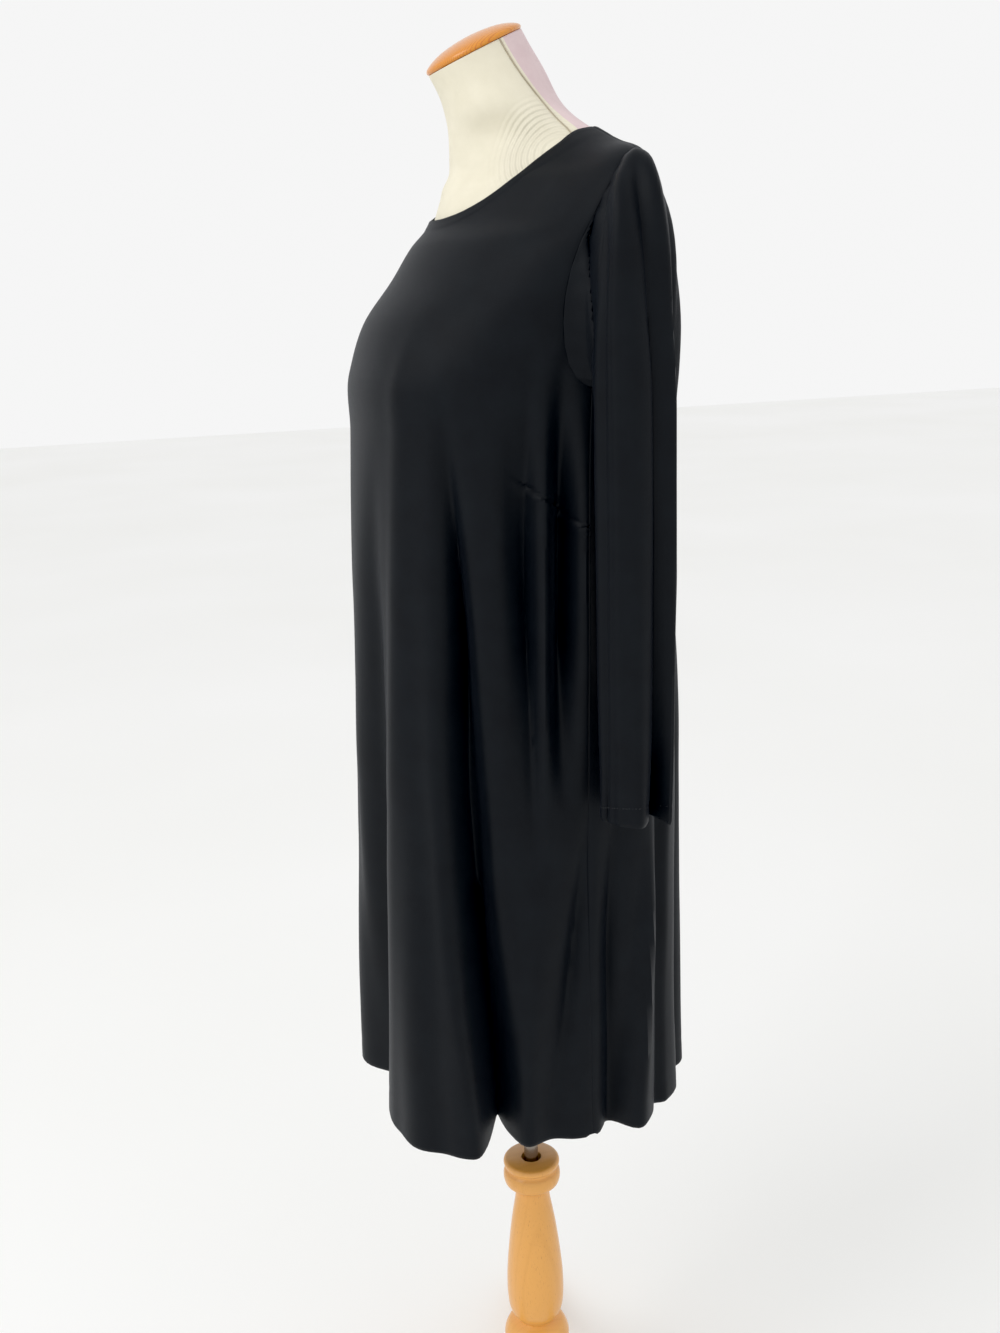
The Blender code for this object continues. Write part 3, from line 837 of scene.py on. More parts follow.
# Viscose jersey, knitted fine and dyed black: matt, with a soft grey sheen where it turns.
JERSEY = KnitFinish(
    "viscose_jersey_knitted_black", "#0C0F14", "#101419", 0.48, 0.12, 0.06, "#8691A8", 1.5, 1.2, 0.10, 35, 0.0
)
# Polyester jersey, knitted cream and pulled tight over the form: matt, with faint shading.
COVER_FRONT = KnitFinish(
    "polyester_jersey_knitted_cream",
    "#E3DDC8",
    "#E9E3CF",
    0.78,
    0.25,
    0.15,
    "#FFFFFF",
    1.3,
    1.0,
    0.08,
    22,
    pucker_mm=5.2,
)
# The same cream jersey painted a greyish pink on the form's back panel: painted shade, where the back turns
# away from the light.
COVER_BACK_PAINTED_SHADE = KnitFinish(
    "polyester_jersey_knitted_cream_painted_shade",
    "#D8C2C4",
    "#DFCBCC",
    0.80,
    0.25,
    0.15,
    "#FFFFFF",
    1.3,
    1.0,
    0.08,
    22,
    pucker_mm=0.0,
)


@dataclass(frozen=True)
class ThreadFinish:
    """Spun polyester sewing thread: a little brighter than the cloth, twisted."""

    name: str
    colour: str

    def make(self) -> bpy.types.Material:
        """Makes the thread, with the slant of its twist as bump."""
        material, shader = new_material(
            self.name,
            {
                "Base Color": linear(self.colour),
                "Roughness": 0.5,
                "Specular IOR Level": 0.4,
                "Sheen Weight": 0.2,
            },
        )
        tree = material.node_tree
        place = add_node(tree, "ShaderNodeTexCoord", {})
        twist = add_node(
            tree,
            "ShaderNodeTexWave",
            {"Vector": place.outputs["Object"], "Scale": 300.0, "Distortion": 0.5},
            bands_direction="DIAGONAL",
        )
        bump = add_node(
            tree, "ShaderNodeBump", {"Strength": 0.3, "Distance": 0.00008, "Height": twist.outputs[0]}
        )
        tree.links.new(bump.outputs[0], shader.inputs["Normal"])
        return material


BLACK_THREAD = ThreadFinish("polyester_thread_spun_black", "#191C20")
CREAM_CORD = ThreadFinish("cotton_piping_cord_cream", "#B0A48E")


@dataclass(frozen=True)
class WoodFinish:
    """Varnished wood: growth rings cut lengthwise, fine pores, and a clear hard coat."""

    name: str
    early: str
    late: str
    pore: str
    ring_mm: float
    pore_mm: float
    coat_roughness: float
    turn: tuple[float, float, float]
    centre: tuple[float, float, float]
    # Above this height the top face is painted pale grey brown: end grain, lightened as a painted highlight
    # of light falling on the top. At the default of 2 m nothing is that high.
    end_grain_highlight: str = "#E6D6C6"
    end_grain_highlight_z: float = 2.0

    def make(self) -> bpy.types.Material:
        """Makes the wood with its grain along local Z."""
        material, shader = new_material(
            self.name,
            {
                "Roughness": 0.42,
                "Specular IOR Level": 0.4,
                "Coat Weight": 0.6,
                "Coat Roughness": self.coat_roughness,
                "Coat IOR": 1.52,
            },
        )
        tree = material.node_tree
        place = add_node(tree, "ShaderNodeTexCoord", {})
        centred = add_node(
            tree,
            "ShaderNodeMapping",
            {"Vector": place.outputs["Object"], "Location": self.centre, "Rotation": self.turn},
            vector_type="TEXTURE",
        )
        along = add_node(
            tree, "ShaderNodeMapping", {"Vector": centred.outputs[0], "Scale": (1.0, 1.0, 0.08)}
        )
        drift = add_node(
            tree,
            "ShaderNodeTexNoise",
            {"Vector": along.outputs[0], "Scale": 28.0, "Detail": 3.0, "Roughness": 0.5},
        )
        shifted = add_node(
            tree,
            "ShaderNodeVectorMath",
            {0: drift.outputs["Color"], 1: (0.012, 0.012, 0.012), 2: along.outputs[0]},
            operation="MULTIPLY_ADD",
        )
        rings = add_node(
            tree,
            "ShaderNodeTexWave",
            {"Vector": shifted.outputs[0], "Scale": 314.16 / self.ring_mm, "Distortion": 1.5, "Detail": 2.0},
            bands_direction="X",
        )
        wood = ramp(tree, rings.outputs["Fac"], [(0.0, self.early), (0.72, self.early), (1.0, self.late)])
        fleck = add_node(
            tree, "ShaderNodeMapping", {"Vector": centred.outputs[0], "Scale": (1.0, 1.0, 0.12)}
        )
        pores = add_node(
            tree,
            "ShaderNodeTexNoise",
            {"Vector": fleck.outputs[0], "Scale": 1000 / self.pore_mm, "Detail": 2.0, "Roughness": 0.55},
        )
        dash = add_node(
            tree,
            "ShaderNodeMapRange",
            {"Value": pores.outputs[0], "From Min": 0.62, "From Max": 0.74, "To Min": 0.0, "To Max": 0.55},
        )
        colour = add_node(
            tree, "ShaderNodeMix", {0: dash.outputs[0], 6: wood, 7: linear(self.pore)}, data_type="RGBA"
        )
        # The top face above the given height is painted pale: end grain with a painted highlight.
        parts = add_node(tree, "ShaderNodeSeparateXYZ", {0: place.outputs["Object"]})
        top = add_node(
            tree, "ShaderNodeMath", {0: parts.outputs["Z"], 1: self.end_grain_highlight_z}, operation="GREATER_THAN"
        )
        highlit_end = add_node(
            tree,
            "ShaderNodeMix",
            {0: top.outputs[0], 6: colour.outputs[2], 7: linear(self.end_grain_highlight)},
            data_type="RGBA",
        )
        tree.links.new(highlit_end.outputs[2], shader.inputs["Base Color"])
        bump = add_node(
            tree, "ShaderNodeBump", {"Strength": 0.15, "Distance": 0.0001, "Height": dash.outputs[0]}
        )
        tree.links.new(bump.outputs[0], shader.inputs["Normal"])
        return material


# Beech, turned and sawn, under clear satin varnish: pale honey with short brown flecks.
BEECH = WoodFinish(
    "beech_turned_varnished", "#E2A34E", "#DFA04B", "#B27434", 9.0, 0.8, 0.2, (0.0, 0.0, 0.0), tuple(AXIS)
)
# Beech of the legs, the same board cut along its length.
BEECH_LEG = WoodFinish(
    "beech_sawn_varnished", "#E6AA57", "#DB9D4C", "#B9793A", 3.4, 1.0, 0.16, (1.57, 0.0, 0.0), tuple(AXIS)
)
# The neck cap: a softwood stained orange-brown under a thick gloss varnish.
CAP_WOOD = WoodFinish(
    "pine_stained_gloss_varnished",
    "#D98C22",
    "#C36F1D",
    "#9C5518",
    2.2,
    1.2,
    0.10,
    turn=(1.57, 0.0, 0.3),
    centre=tuple(AXIS),
)


@dataclass(frozen=True)
class SteelFinish:
    """Drawn steel tube, nickel plated, with faint lines along its length. Its colour is a darker, warmer grey
    than bright nickel: a painted reflection of the brown wood round it.
    """

    name: str = "steel_tube_drawn_nickel_plated"
    # Darker and warmer than bright nickel: a painted reflection of the brown column and room.
    colour: str = "#958E86"
    line_mm: float = 0.6

    def make(self) -> bpy.types.Material:
        """Makes the plated steel."""
        material, shader = new_material(
            self.name, {"Base Color": linear(self.colour), "Metallic": 1.0, "Roughness": 0.2}
        )
        tree = material.node_tree
        place = add_node(tree, "ShaderNodeTexCoord", {})
        along = add_node(
            tree, "ShaderNodeMapping", {"Vector": place.outputs["Object"], "Scale": (1.0, 1.0, 0.01)}
        )
        lines = add_node(
            tree,
            "ShaderNodeTexNoise",
            {"Vector": along.outputs[0], "Scale": 1000 / self.line_mm, "Detail": 2.0},
        )
        rough = add_node(
            tree, "ShaderNodeMapRange", {"Value": lines.outputs[0], "To Min": 0.14, "To Max": 0.3}
        )
        tree.links.new(rough.outputs[0], shader.inputs["Roughness"])
        return material


# The dress


@dataclass(frozen=True)
class Drape:
    """The body cloth as it hangs: plain rings, with the folds laid over them."""

    rest_lift: float = 0.0006
    fold_sway: float = 1.3
    hem_swing: float = 3.2
    hem_swing_turn: float = 60.0
    ripple: float = 0.0011
    clear: float = 0.0012
    board_z: float = 0.80

    @staticmethod
    @lru_cache(maxsize=4096)
    def level(z: float) -> Level:
        """The ring of the form and the cloth at this height."""
        return between(LEVELS, z)

    def ring_point(self, level: Level, turn: float, worn: int) -> Vector:
        """A point of a level ring.

        Args:
            level: The ring.
            turn: Degrees round the body.
            worn: 1 for the cloth's inner face and 0 for the form.

        Returns:
            The point, measured from the pole.
        """
        sine, cosine = math.sin(math.radians(turn)), math.cos(math.radians(turn))
        width = level.width + level.off_side * worn
        depth = level.front + level.off_front * worn
        if cosine < 0:
            depth = level.back + level.off_back * worn
        x = width * bulge(sine, level.round)
        y = level.centre - depth * bulge(cosine, level.round)
        return Vector((x, y, level.z))

    def fold_depth(self, turn: float, z: float) -> float:
        """How far the folds move the cloth out of its plain ring here."""
        total = 0.0
        swing = ease((self.board_z - z) / 0.26) * hump(turn_gap(turn, self.hem_swing_turn), 9)
        turn -= self.hem_swing * swing
        for number, fold in enumerate(FOLDS + CREASES):
            if not fold.end_z < z < fold.start_z:
                continue
            run = (fold.start_z - z) / (fold.start_z - 0.52)
            middle = fold.top_turn + (fold.hem_turn - fold.top_turn) * run
            middle += self.fold_sway * noise.noise(Vector((number * 3.7, z * 7.0, 0.5)))
            size = ease((fold.start_z - z) / (fold.start_z - fold.full_z))
            if fold.end_z > 0.52:
                size *= ease((z - fold.end_z) / (fold.full_z - fold.end_z))
            total += fold.depth * size * hump(turn_gap(turn, middle), fold.spread)
        return total

    def point(self, turn: float, z: float) -> Vector:
        """A point of the body cloth's inner face, from the pole. Troughs stop at the form."""
        level = self.level(round(z, 6))
        point = self.ring_point(level, turn, 1)
        along = self.ring_point(level, turn + 0.5, 1) - self.ring_point(level, turn - 0.5, 1)
        outward = Vector((along.y, -along.x, 0)).normalized()
        loose = ease((1.30 - z) / 0.45)
        angle = math.radians(turn)
        waver = noise.noise(Vector((math.sin(angle) * 4, math.cos(angle) * 4, z * 5)))
        out = self.fold_depth(turn, z) + self.ripple * loose * waver
        room = (point - self.ring_point(level, turn, 0)).dot(outward) - self.clear
        room = max(0.0003, room + max(0.0, self.board_z - z))
        if out < 0:
            out /= (1 + (out / room) ** 4) ** 0.25
        point += outward * out
        point.z += self.rest_lift
        return point


@dataclass(frozen=True)
class Cut:
    """The measures of the dress that its pieces share, in metres."""

    hem_z: float = 0.52
    underarm_z: float = 1.275
    shoulder_tip_z: float = 1.459
    neck_side_z: float = 1.4950
    neck_front_z: float = 1.423
    neck_back_z: float = 1.484
    armhole_front: float = 0.037
    armhole_back: float = 0.030
    wall: float = 0.0010
    wall_out: float = 0.0016
    hem_depth: float = 0.028
    neck_turning: float = 0.009
    seam_dip: float = 0.0004
    seam_width: float = 0.0022
    tip_lift: float = 0.0098
    tip_width: float = 0.031
    yoke_z: float = 1.43

    def armhole_reach(self, z: float, side: Side) -> float:
        """Half the armhole's depth at this height."""
        limit = self.armhole_front if side is Side.FRONT else self.armhole_back
        middle = (self.shoulder_tip_z + self.underarm_z) / 2
        part = (z - middle) / (self.shoulder_tip_z - self.underarm_z) * 2
        return limit * math.sqrt(max(0.0, 1 - part * part))

    def edge_turn(self, drape: Drape, z: float, side: Side) -> float:
        """Turn of a panel's edge from its own middle: side seam, armhole or shoulder seam.

        Args:
            drape: The body cloth.
            z: The height.
            side: Front or back.

        Returns:
            Degrees from the panel's middle.
        """
        reach = self.armhole_reach(z, side)
        if reach <= 0:
            return 90.0
        level = drape.level(round(z, 6))
        depth = level.back + level.off_back
        if side is Side.FRONT:
            depth = level.front + level.off_front
        low, high = 0.0, 1.0
        for _ in range(24):
            cosine = (low + high) / 2
            if bulge(cosine, level.round) * depth < reach:
                low = cosine
            else:
                high = cosine
        return math.degrees(math.acos((low + high) / 2))

    def tip_fullness(self, drape: Drape, point: Vector) -> float:
        """How far the sleeve's gathered cap lifts the cloth round the shoulder tip."""
        tip = drape.point(90 if point.x > 0 else -90, self.shoulder_tip_z)
        return self.tip_lift * hump((point - tip).length, self.tip_width)

    def neckline(self, share: float, side: Side) -> float:
        """Height of the neckline above this share of a panel's half width."""
        low = self.neck_front_z if side is Side.FRONT else self.neck_back_z
        return low + (self.neck_side_z - low) * between(NECKLINE, abs(share)).rise

    def give_wall(self, skin: bpy.types.Object) -> None:
        """Gives a skin its cloth, whose outer face lies wall_out off the skin."""
        wall = skin.modifiers.new("cloth", "SOLIDIFY")
        wall.thickness = self.wall
        wall.offset = 2 * self.wall_out / self.wall - 1


class Dart(NamedTuple):
    """A bust dart's seam, from its point to the side seam."""

    point_turn: float
    point_z: float
    side_turn: float
    side_z: float


BUST_DART = Dart(71.5, 1.1950, 90.0, 1.1480)


@dataclass(frozen=True)
class Panel:
    """The front or the back of the dress, cut in one piece."""

    name: str
    node: str
    side: Side
    columns: int
    drape: Drape
    cut: Cut
    flat_width: float
    flat_length: float
    flat_area: float

    def turn_at(self, share: float, z: float) -> float:
        """Turn from the panel's middle at a share of its half width.

        The armhole narrows fast under the shoulder tip. Only the cloth at the edge follows it.
        """
        cut = self.cut
        edge = cut.edge_turn(self.drape, z, self.side)
        if z <= cut.yoke_z:
            return share * edge
        start = cut.edge_turn(self.drape, cut.yoke_z, self.side)
        calm = start + (90 - start) * (z - cut.yoke_z) / (cut.neck_side_z - cut.yoke_z)
        return share * (calm + (edge - calm) * share**6)

    def body_turn(self, turn: float) -> float:
        """The turn round the body of a place on the panel, from the panel's own middle."""
        return turn if self.side is Side.FRONT else 180 + turn

    def shares(self) -> list[float]:
        """Shares of the panel's half width, from -1 to 1, closer where the cloth folds."""
        steps = 720
        total = [0.0]
        for index in range(steps):
            cost = 0.0
            for z in (self.cut.hem_z + 0.04, 0.78, 1.02):
                near = [
                    self.drape.point(self.body_turn(90 * (2 * (index + k) / steps - 1)), z)
                    for k in (-1, 0, 1)
                ]
                first, second = near[1] - near[0], near[2] - near[1]
                cost += second.length + 0.02 * first.angle(second)
            total.append(total[-1] + cost)
        shares, place = [], 0
        for column in range(self.columns + 1):
            wanted = total[-1] * column / self.columns
            while place < steps - 1 and total[place + 1] < wanted:
                place += 1
            part = (wanted - total[place]) / (total[place + 1] - total[place])
            shares.append(2 * (place + part) / steps - 1)
        edge = [-1.0, -0.996, -0.991]
        inner = [share for share in shares if abs(share) < 0.986]
        return edge + inner + [-share for share in reversed(edge)]

    def heights(self) -> list[float]:
        """Heights of the panel's rows at its edge, closer together at the darts."""
        cut = self.cut
        rows = [cut.hem_z + share for share in (0.0, 0.0015, 0.004)]
        rows += [0.53 + (1.10 - 0.53) * i / 70 for i in range(70)]
        for low, high, count in ((1.10, 1.13, 11), (1.13, 1.21, 96), (1.21, cut.underarm_z, 25)):
            rows += [low + (high - low) * i / count for i in range(count)]
        for index in range(56):
            part = (1 - math.cos(math.pi * index / 56)) / 2
            rows.append(cut.underarm_z + (cut.shoulder_tip_z - cut.underarm_z) * part)
        for index in range(19):
            rows.append(cut.shoulder_tip_z + (cut.neck_side_z - cut.shoulder_tip_z) * index / 18)
        return rows

    def dart_relief(self, turn: float, z: float) -> float:
        """The pressed seam of a bust dart: a groove with its fold lying below it."""
        dart = BUST_DART
        metre = 0.0030
        run = Vector(((dart.side_turn - dart.point_turn) * metre, dart.side_z - dart.point_z))
        here = Vector(((abs(turn) - dart.point_turn) * metre, z - dart.point_z))
        part = here.dot(run) / run.length_squared
        if not -0.3 < part < 1.05:
            return 0.0
        off = (here.x * run.y - here.y * run.x) / run.length
        strength = ease((part + 0.25) / 0.5)
        return strength * (-0.0017 * hump(off, 0.0014) + 0.0009 * hump(off - 0.004, 0.0035))

    def build(self) -> bpy.types.Object:
        """Builds the panel, its turned hem, its pressed seams and its darts."""
        cut, drape, shares = self.cut, self.drape, self.shares()
        rows, relief = [], []
        for depth in (cut.hem_depth, cut.hem_depth * 0.66, cut.hem_depth * 0.33, 0.004, 0.0012):
            row = []
            for share in shares:
                z = cut.hem_z + depth
                turn = self.body_turn(self.turn_at(share, z))
                point = drape.point(turn, z)
                inward = Vector((-point.x, -point.y, 0)).normalized()
                row.append(point + inward * 0.0001)
            rows.append(row)
            relief.append([0.0] * len(shares))
        for height in self.heights():
            row, out = [], []
            for share in shares:
                z = height
                top = cut.neckline(share, self.side)
                if height > cut.underarm_z:
                    part = (height - cut.underarm_z) / (cut.neck_side_z - cut.underarm_z)
                    z = cut.underarm_z + (top - cut.underarm_z) * part
                turn = self.turn_at(share, z)
                point = drape.point(self.body_turn(turn), z)
                edge = (1 - abs(share)) * 1.57 * math.hypot(point.x, point.y - 0.02)
                lift = -cut.seam_dip * hump(edge, cut.seam_width)
                lift += cut.tip_fullness(drape, point)
                lift += 0.00045 * ease((z - top + cut.neck_turning) / 0.002)
                lift -= 0.0003 * hump(z - cut.hem_z - cut.hem_depth, 0.0025)
                if self.side is Side.FRONT:
                    lift += self.dart_relief(turn, z)
                row.append(point)
                out.append(lift)
            rows.append(row)
            relief.append(out)
        relieve(rows, relief, closed=False)
        piece = grid_skin(self.name, rows, closed=False)
        cut.give_wall(piece)
        return piece


@dataclass(frozen=True)
class Sleeve:
    """A long set-in sleeve, cut in one piece, with a turned hem at the wrist."""

    name: str
    node: str
    side: Side
    drape: Drape
    cut: Cut
    flat_width: float
    flat_length: float
    flat_area: float
    sides: int = 112
    cap_step: float = 0.006
    cap_rings: float = 4.0
    cuff_slope: float = 0.10
    hem_depth: float = 0.017
    tuck: float = 0.006
    crown: float = 0.0030
    front_crease: float = 0.0080
    under: float = 0.003

    def armhole_point(self, turn: float, under: float = 0.0) -> Vector:
        """A point of the left armhole.

        Args:
            turn: 0 is the shoulder tip and 90 is the front.
            under: How far the point goes on under the body cloth, in metres.

        Returns:
            The point, measured from the pole.
        """
        cut, drape = self.cut, self.drape
        part = (1 + math.cos(math.radians(turn))) / 2
        z = cut.underarm_z + (cut.shoulder_tip_z - cut.underarm_z) * part
        side = Side.FRONT if math.sin(math.radians(turn)) >= 0 else Side.BACK
        edge = cut.edge_turn(drape, z, side)
        around = edge if side is Side.FRONT else 180 - edge
        along = drape.point(around + 1, z) - drape.point(around - 1, z)
        up = drape.point(around, z + 0.003) - drape.point(around, z - 0.003)
        outward = along.cross(up).normalized()
        point = drape.point(around, z)
        away = point - drape.point(90, (cut.underarm_z + cut.shoulder_tip_z) / 2)
        away = (away - outward * away.dot(outward)).normalized()
        sink = 0.0002 + 0.4 * under - cut.tip_fullness(drape, point)
        return point + away * under - outward * sink

    def fold(self, turn: float, down: float) -> float:
        """How far the sleeve's folds move its cloth out here."""
        total = 0.0
        for fold in SLEEVE_FOLDS + SLEEVE_CREASES:
            middle = fold.top_turn + (fold.cuff_turn - fold.top_turn) * ease((down - 0.12) / 0.42)
            size = ease((down - fold.start) / (fold.full - fold.start))
            total += fold.depth * size * hump(turn_gap(turn, middle), fold.spread)
        return total

    def front_dent(self, number: float, turn: float) -> float:
        """How far out the cap lies along the crease where it folds over the body cloth."""
        strength = ease((turn - 42) / 18) * ease((140 - turn) / 30) * ease((number + 1) / 0.7)
        off = number + 0.5 - (turn - 60) * 0.06
        return self.front_crease * strength * (0.5 * hump(off - 1.1, 0.6) - hump(off, 0.36))

    def ring(self, number: float, turns: list[float], seam: list[Vector]) -> list[Vector]:
        """A section of the left sleeve's inner face.

        Args:
            number: -1 at the armhole seam, then the rows of the sleeve's table.
            turns: Degrees round the section.
            seam: The armhole's points at those turns.

        Returns:
            The section's points, measured from the pole.
        """
        row = between(SLEEVE_RINGS, max(0.0, number))
        free = ease((number + 0.6) / self.cap_rings)
        down = number / 12
        outer = Vector((row.outer_x, 0, row.outer_z))
        inner = Vector((row.inner_x, 0, row.inner_z))
        middle, reach = (outer + inner) / 2, (outer - inner) / 2
        rise = ease((number + 1) / 1.5)
        ring = []
        for turn, start in zip(turns, seam):
            cosine, sine = math.cos(math.radians(turn)), math.sin(math.radians(turn))
            point = middle + reach * bulge(cosine, 1.06)
            point.y = row.y - row.half_depth * bulge(sine, 1.1)
            outward = reach.normalized() * cosine / max(0.2, reach.length * 8)
            outward.y = -sine
            outward.normalize()
            pucker = 0.0006 * math.sin(math.radians(turn * 26)) * hump(number + 0.2, 0.9)
            point += outward * self.fold(turn, down)
            point.z -= self.cuff_slope * (point.y - row.y) * max(0.0, down)
            crown = self.crown * hump(turn_gap(turn, 0), 38) * hump(number - 0.8, 2.0)
            point += Vector((0.45, 0, 0.9)) * crown
            out = self.cap_step * (number + 1) * (0.35 + 0.65 * ease((number + 1) / 1.6))
            inward = (row.y - start.y) * 0.22 * ease((number + 1) / 1.8)
            held = start + Vector((out, inward, 0)) + outward * rise * (0.0012 + 0.6 * self.fold(turn, down))
            held += Vector((0.3, 0, 0.95)) * crown * rise * 0.7
            tuck = self.tuck * hump(number - 1.6, 1.9) * max(0.0, sine) ** 1.5
            dent = Vector((self.front_dent(number, turn), tuck, 0))
            ring.append(held.lerp(point, free) + outward * pucker + dent)
        return ring

    def build(self) -> bpy.types.Object:
        """Builds the sleeve from the armhole to the wrist, and its hem turned up inside."""
        turns = [360 * index / self.sides for index in range(self.sides + 1)]
        seam = [self.armhole_point(turn) for turn in turns]
        numbers = [-1 + index / 8 for index in range(40)]
        numbers += [4 + index / 12 for index in range(93)]
        numbers += [11.75 + index / 32 for index in range(8)]
        rows = [[self.armhole_point(turn, self.under) for turn in turns]]
        rows += [self.ring(number, turns, seam) for number in numbers]
        line = 12 - self.hem_depth / 0.07
        relief = [[0.0] * len(turns)]
        for number in numbers:
            groove = -0.0005 * hump((number - line) * 0.07, 0.0016)
            relief.append(
                [
                    groove + 0.0002 * math.sin(math.radians(turn * 22)) * hump((number - line) * 0.07, 0.008)
                    for turn in turns
                ]
            )
        middle_y = SLEEVE_RINGS[-1].y
        for number in (12.0, 11.98, 11.94, 11.88, line):
            ring = self.ring(number, turns, seam)
            if number < 12.0:
                for place, point in enumerate(ring):
                    inward = Vector((0.193 - point.x, middle_y - point.y, 0)).normalized()
                    ring[place] = point + inward * 0.0001
            rows.append(ring)
            relief.append([0.0] * len(turns))
        relieve(rows, relief, closed=True)
        if self.side is Side.RIGHT:
            rows = [[Vector((-p.x, p.y, p.z)) for p in reversed(row)] for row in rows]
        piece = grid_skin(self.name, rows, closed=True)
        self.cut.give_wall(piece)
        return piece

    def stitches(self) -> bpy.types.Object:
        """Sews the wrist hem: a row of short thread stitches round the sleeve."""
        count = 84
        turns = [360 * index / count for index in range(count + 1)]
        seam = [self.armhole_point(turn) for turn in turns]
        line = 12 - self.hem_depth / 0.07
        path = self.ring(line, turns, seam)
        above = self.ring(line - 0.05, turns, seam)
        bm = bmesh.new()
        mirror = -1 if self.side is Side.RIGHT else 1
        for index in range(count):
            start, end = path[index], path[index + 1]
            along = (end - start).normalized()
            outward = along.cross(start - above[index]).normalized()
            middle = (start + end) / 2 + outward * (self.cut.wall_out - 0.0004)
            flip = Vector((mirror, 1, 1))
            middle, along, outward = (v * flip for v in (middle, along, outward))
            across = outward.cross(along)
            frame = Matrix((along * 0.00105, across * 0.00028, outward * 0.00026)).transposed().to_4x4()
            frame.translation = middle + AXIS
            bmesh.ops.create_uvsphere(bm, u_segments=6, v_segments=4, radius=1.0, matrix=frame)
        bmesh.ops.recalc_face_normals(bm, faces=bm.faces)
        return finish_mesh(f"{self.name}_hem_stitches", bm, 80.0)


# The dress form


@dataclass(frozen=True)
class DressForm:
    """The limbless torso in its cream knit cover, whose back panel is painted greyish pink as shade, and the
    cap on its neck.
    """

    drape: Drape
    bottom_z: float = 0.80
    columns: int = 144
    seam_metre: float = 0.0035
    facing_columns: int = 2
    cord_radius: float = 0.0006
    cap_lift: float = 0.0003
    smooth_from: float = 1.4985
    smooth_passes: int = 24

    @staticmethod
    def seam_turn(z: float, tilted: bool) -> float:
        """Where the cover's side seam runs on a ring of the torso or of the neck."""
        if tilted:
            return 104 + 9 * ease((1.543 - z) / 0.022)
        return 90 - 18 * ease((z - 1.40) / 0.085) + 6 * ease((z - 1.488) / 0.015)

    def turns(self, seam: float) -> list[float]:
        """Turns of a ring's points, with a point on the side seam left and right."""
        quarter = self.columns // 4
        half = [seam * index / quarter for index in range(quarter)]
        half += [seam + (180 - seam) * index / quarter for index in range(quarter + 1)]
        return half + [360 - turn for turn in reversed(half[:-1])]

    def neck_ring(self, row: NeckRing) -> list[Vector]:
        """A tilted ring of the bare neck."""
        tilt = math.radians(row.tilt)
        ring = []
        for turn in self.turns(self.seam_turn(row.z, True)):
            out = -row.depth * math.cos(math.radians(turn))
            x = row.width * math.sin(math.radians(turn))
            ring.append(Vector((x, row.y + out * math.cos(tilt), row.z + out * math.sin(tilt))))
        return ring

    def body_ring(self, z: float) -> list[Vector]:
        """A level ring of the torso."""
        level = self.drape.level(round(z, 6))
        return [self.drape.ring_point(level, turn, 0) for turn in self.turns(self.seam_turn(z, False))]

    def rows(self) -> list[list[Vector]]:
        """All rows of the cover: the level rings, then smooth curves through the neck's."""
        top = LEVELS[-1].z
        heights = [self.bottom_z + (1.40 - self.bottom_z) * index / 50 for index in range(50)]
        heights += [1.40 + (top - 1.40) * index / 44 for index in range(44)]
        rows = [self.body_ring(z) for z in heights]
        keys = [self.body_ring(top - 0.011), self.body_ring(top)]
        keys += [self.neck_ring(row) for row in NECK_RINGS]
        last = len(keys) - 1
        for low in range(1, last):
            before, start, end, after = keys[low - 1], keys[low], keys[low + 1], keys[min(last, low + 2)]
            count = 11
            for step in range(count + (low == last - 1)):
                part = step / count
                rows.append(
                    [self.curve(a, b, c, d, part) for a, b, c, d in zip(before, start, end, after)]
                )
        low = sum(max(point.z for point in row) < self.smooth_from for row in rows)
        for _ in range(self.smooth_passes):
            for index in range(low, len(rows) - 1):
                near = zip(rows[index - 1], rows[index], rows[index + 1])
                rows[index] = [(a + b * 2 + c) / 4 for a, b, c in near]
        return rows

    @staticmethod
    def curve(a: Vector, b: Vector, c: Vector, d: Vector, part: float) -> Vector:
        """A point between b and c on a smooth curve through four points."""
        span = (c - b).length
        rise_b = (c - a) * (span / max(1e-9, (c - b).length + (b - a).length))
        rise_c = (d - b) * (span / max(1e-9, (d - c).length + (c - b).length))
        square, cube = part * part, part**3
        return (
            b * (2 * cube - 3 * square + 1)
            + rise_b * (cube - 2 * square + part)
            + c * (3 * square - 2 * cube)
            + rise_c * (cube - square)
        )

    def build_cover(self) -> bpy.types.Object:
        """Builds the covered torso and neck, closed above and, by its board, below."""
        rows = self.rows()
        quarter = self.columns // 4
        relief = []
        for row in rows:
            line = []
            for column, point in enumerate(row):
                seam = min(abs(column - quarter), abs(column - 3 * quarter)) * self.seam_metre
                line.append(-0.0008 * hump(seam, 0.0012))
            relief.append(line)
        relieve(rows, relief, closed=True)
        # The columns between the side seams take material 1, the greyish pink painted shade of the back.
        first, last = quarter + self.facing_columns, 3 * quarter - self.facing_columns
        zones = [int(first <= column < last) for column in range(self.columns)]
        cover = grid_skin("form_cover", rows, closed=True, zones=zones)
        bm = bmesh.new()
        bm.from_mesh(cover.data)
        rims = [edge for edge in bm.edges if edge.is_boundary]
        for face in bmesh.ops.holes_fill(bm, edges=rims, sides=self.columns + 8)["faces"]:
            face.material_index = 2
        bmesh.ops.recalc_face_normals(bm, faces=bm.faces)
        bm.to_mesh(cover.data)
        bm.free()
        # The second finish is the cream cover painted greyish pink as shade.
        for finish in (COVER_FRONT, COVER_BACK_PAINTED_SHADE, BEECH):
            cover.data.materials.append(finish.make())
        return cover

    def build_cords(self) -> list[bpy.types.Object]:
        """Builds the piping sewn into the side seams, from the cap down into the dress."""
        rows = self.rows()
        quarter = self.columns // 4
        cords = []
        for name, column in (("left", quarter), ("right", 3 * quarter)):
            path = [row[column] for row in rows if row[column].z > 1.43]
            cords.append(self.cord(f"neck_piping_{name}", path))
        return cords

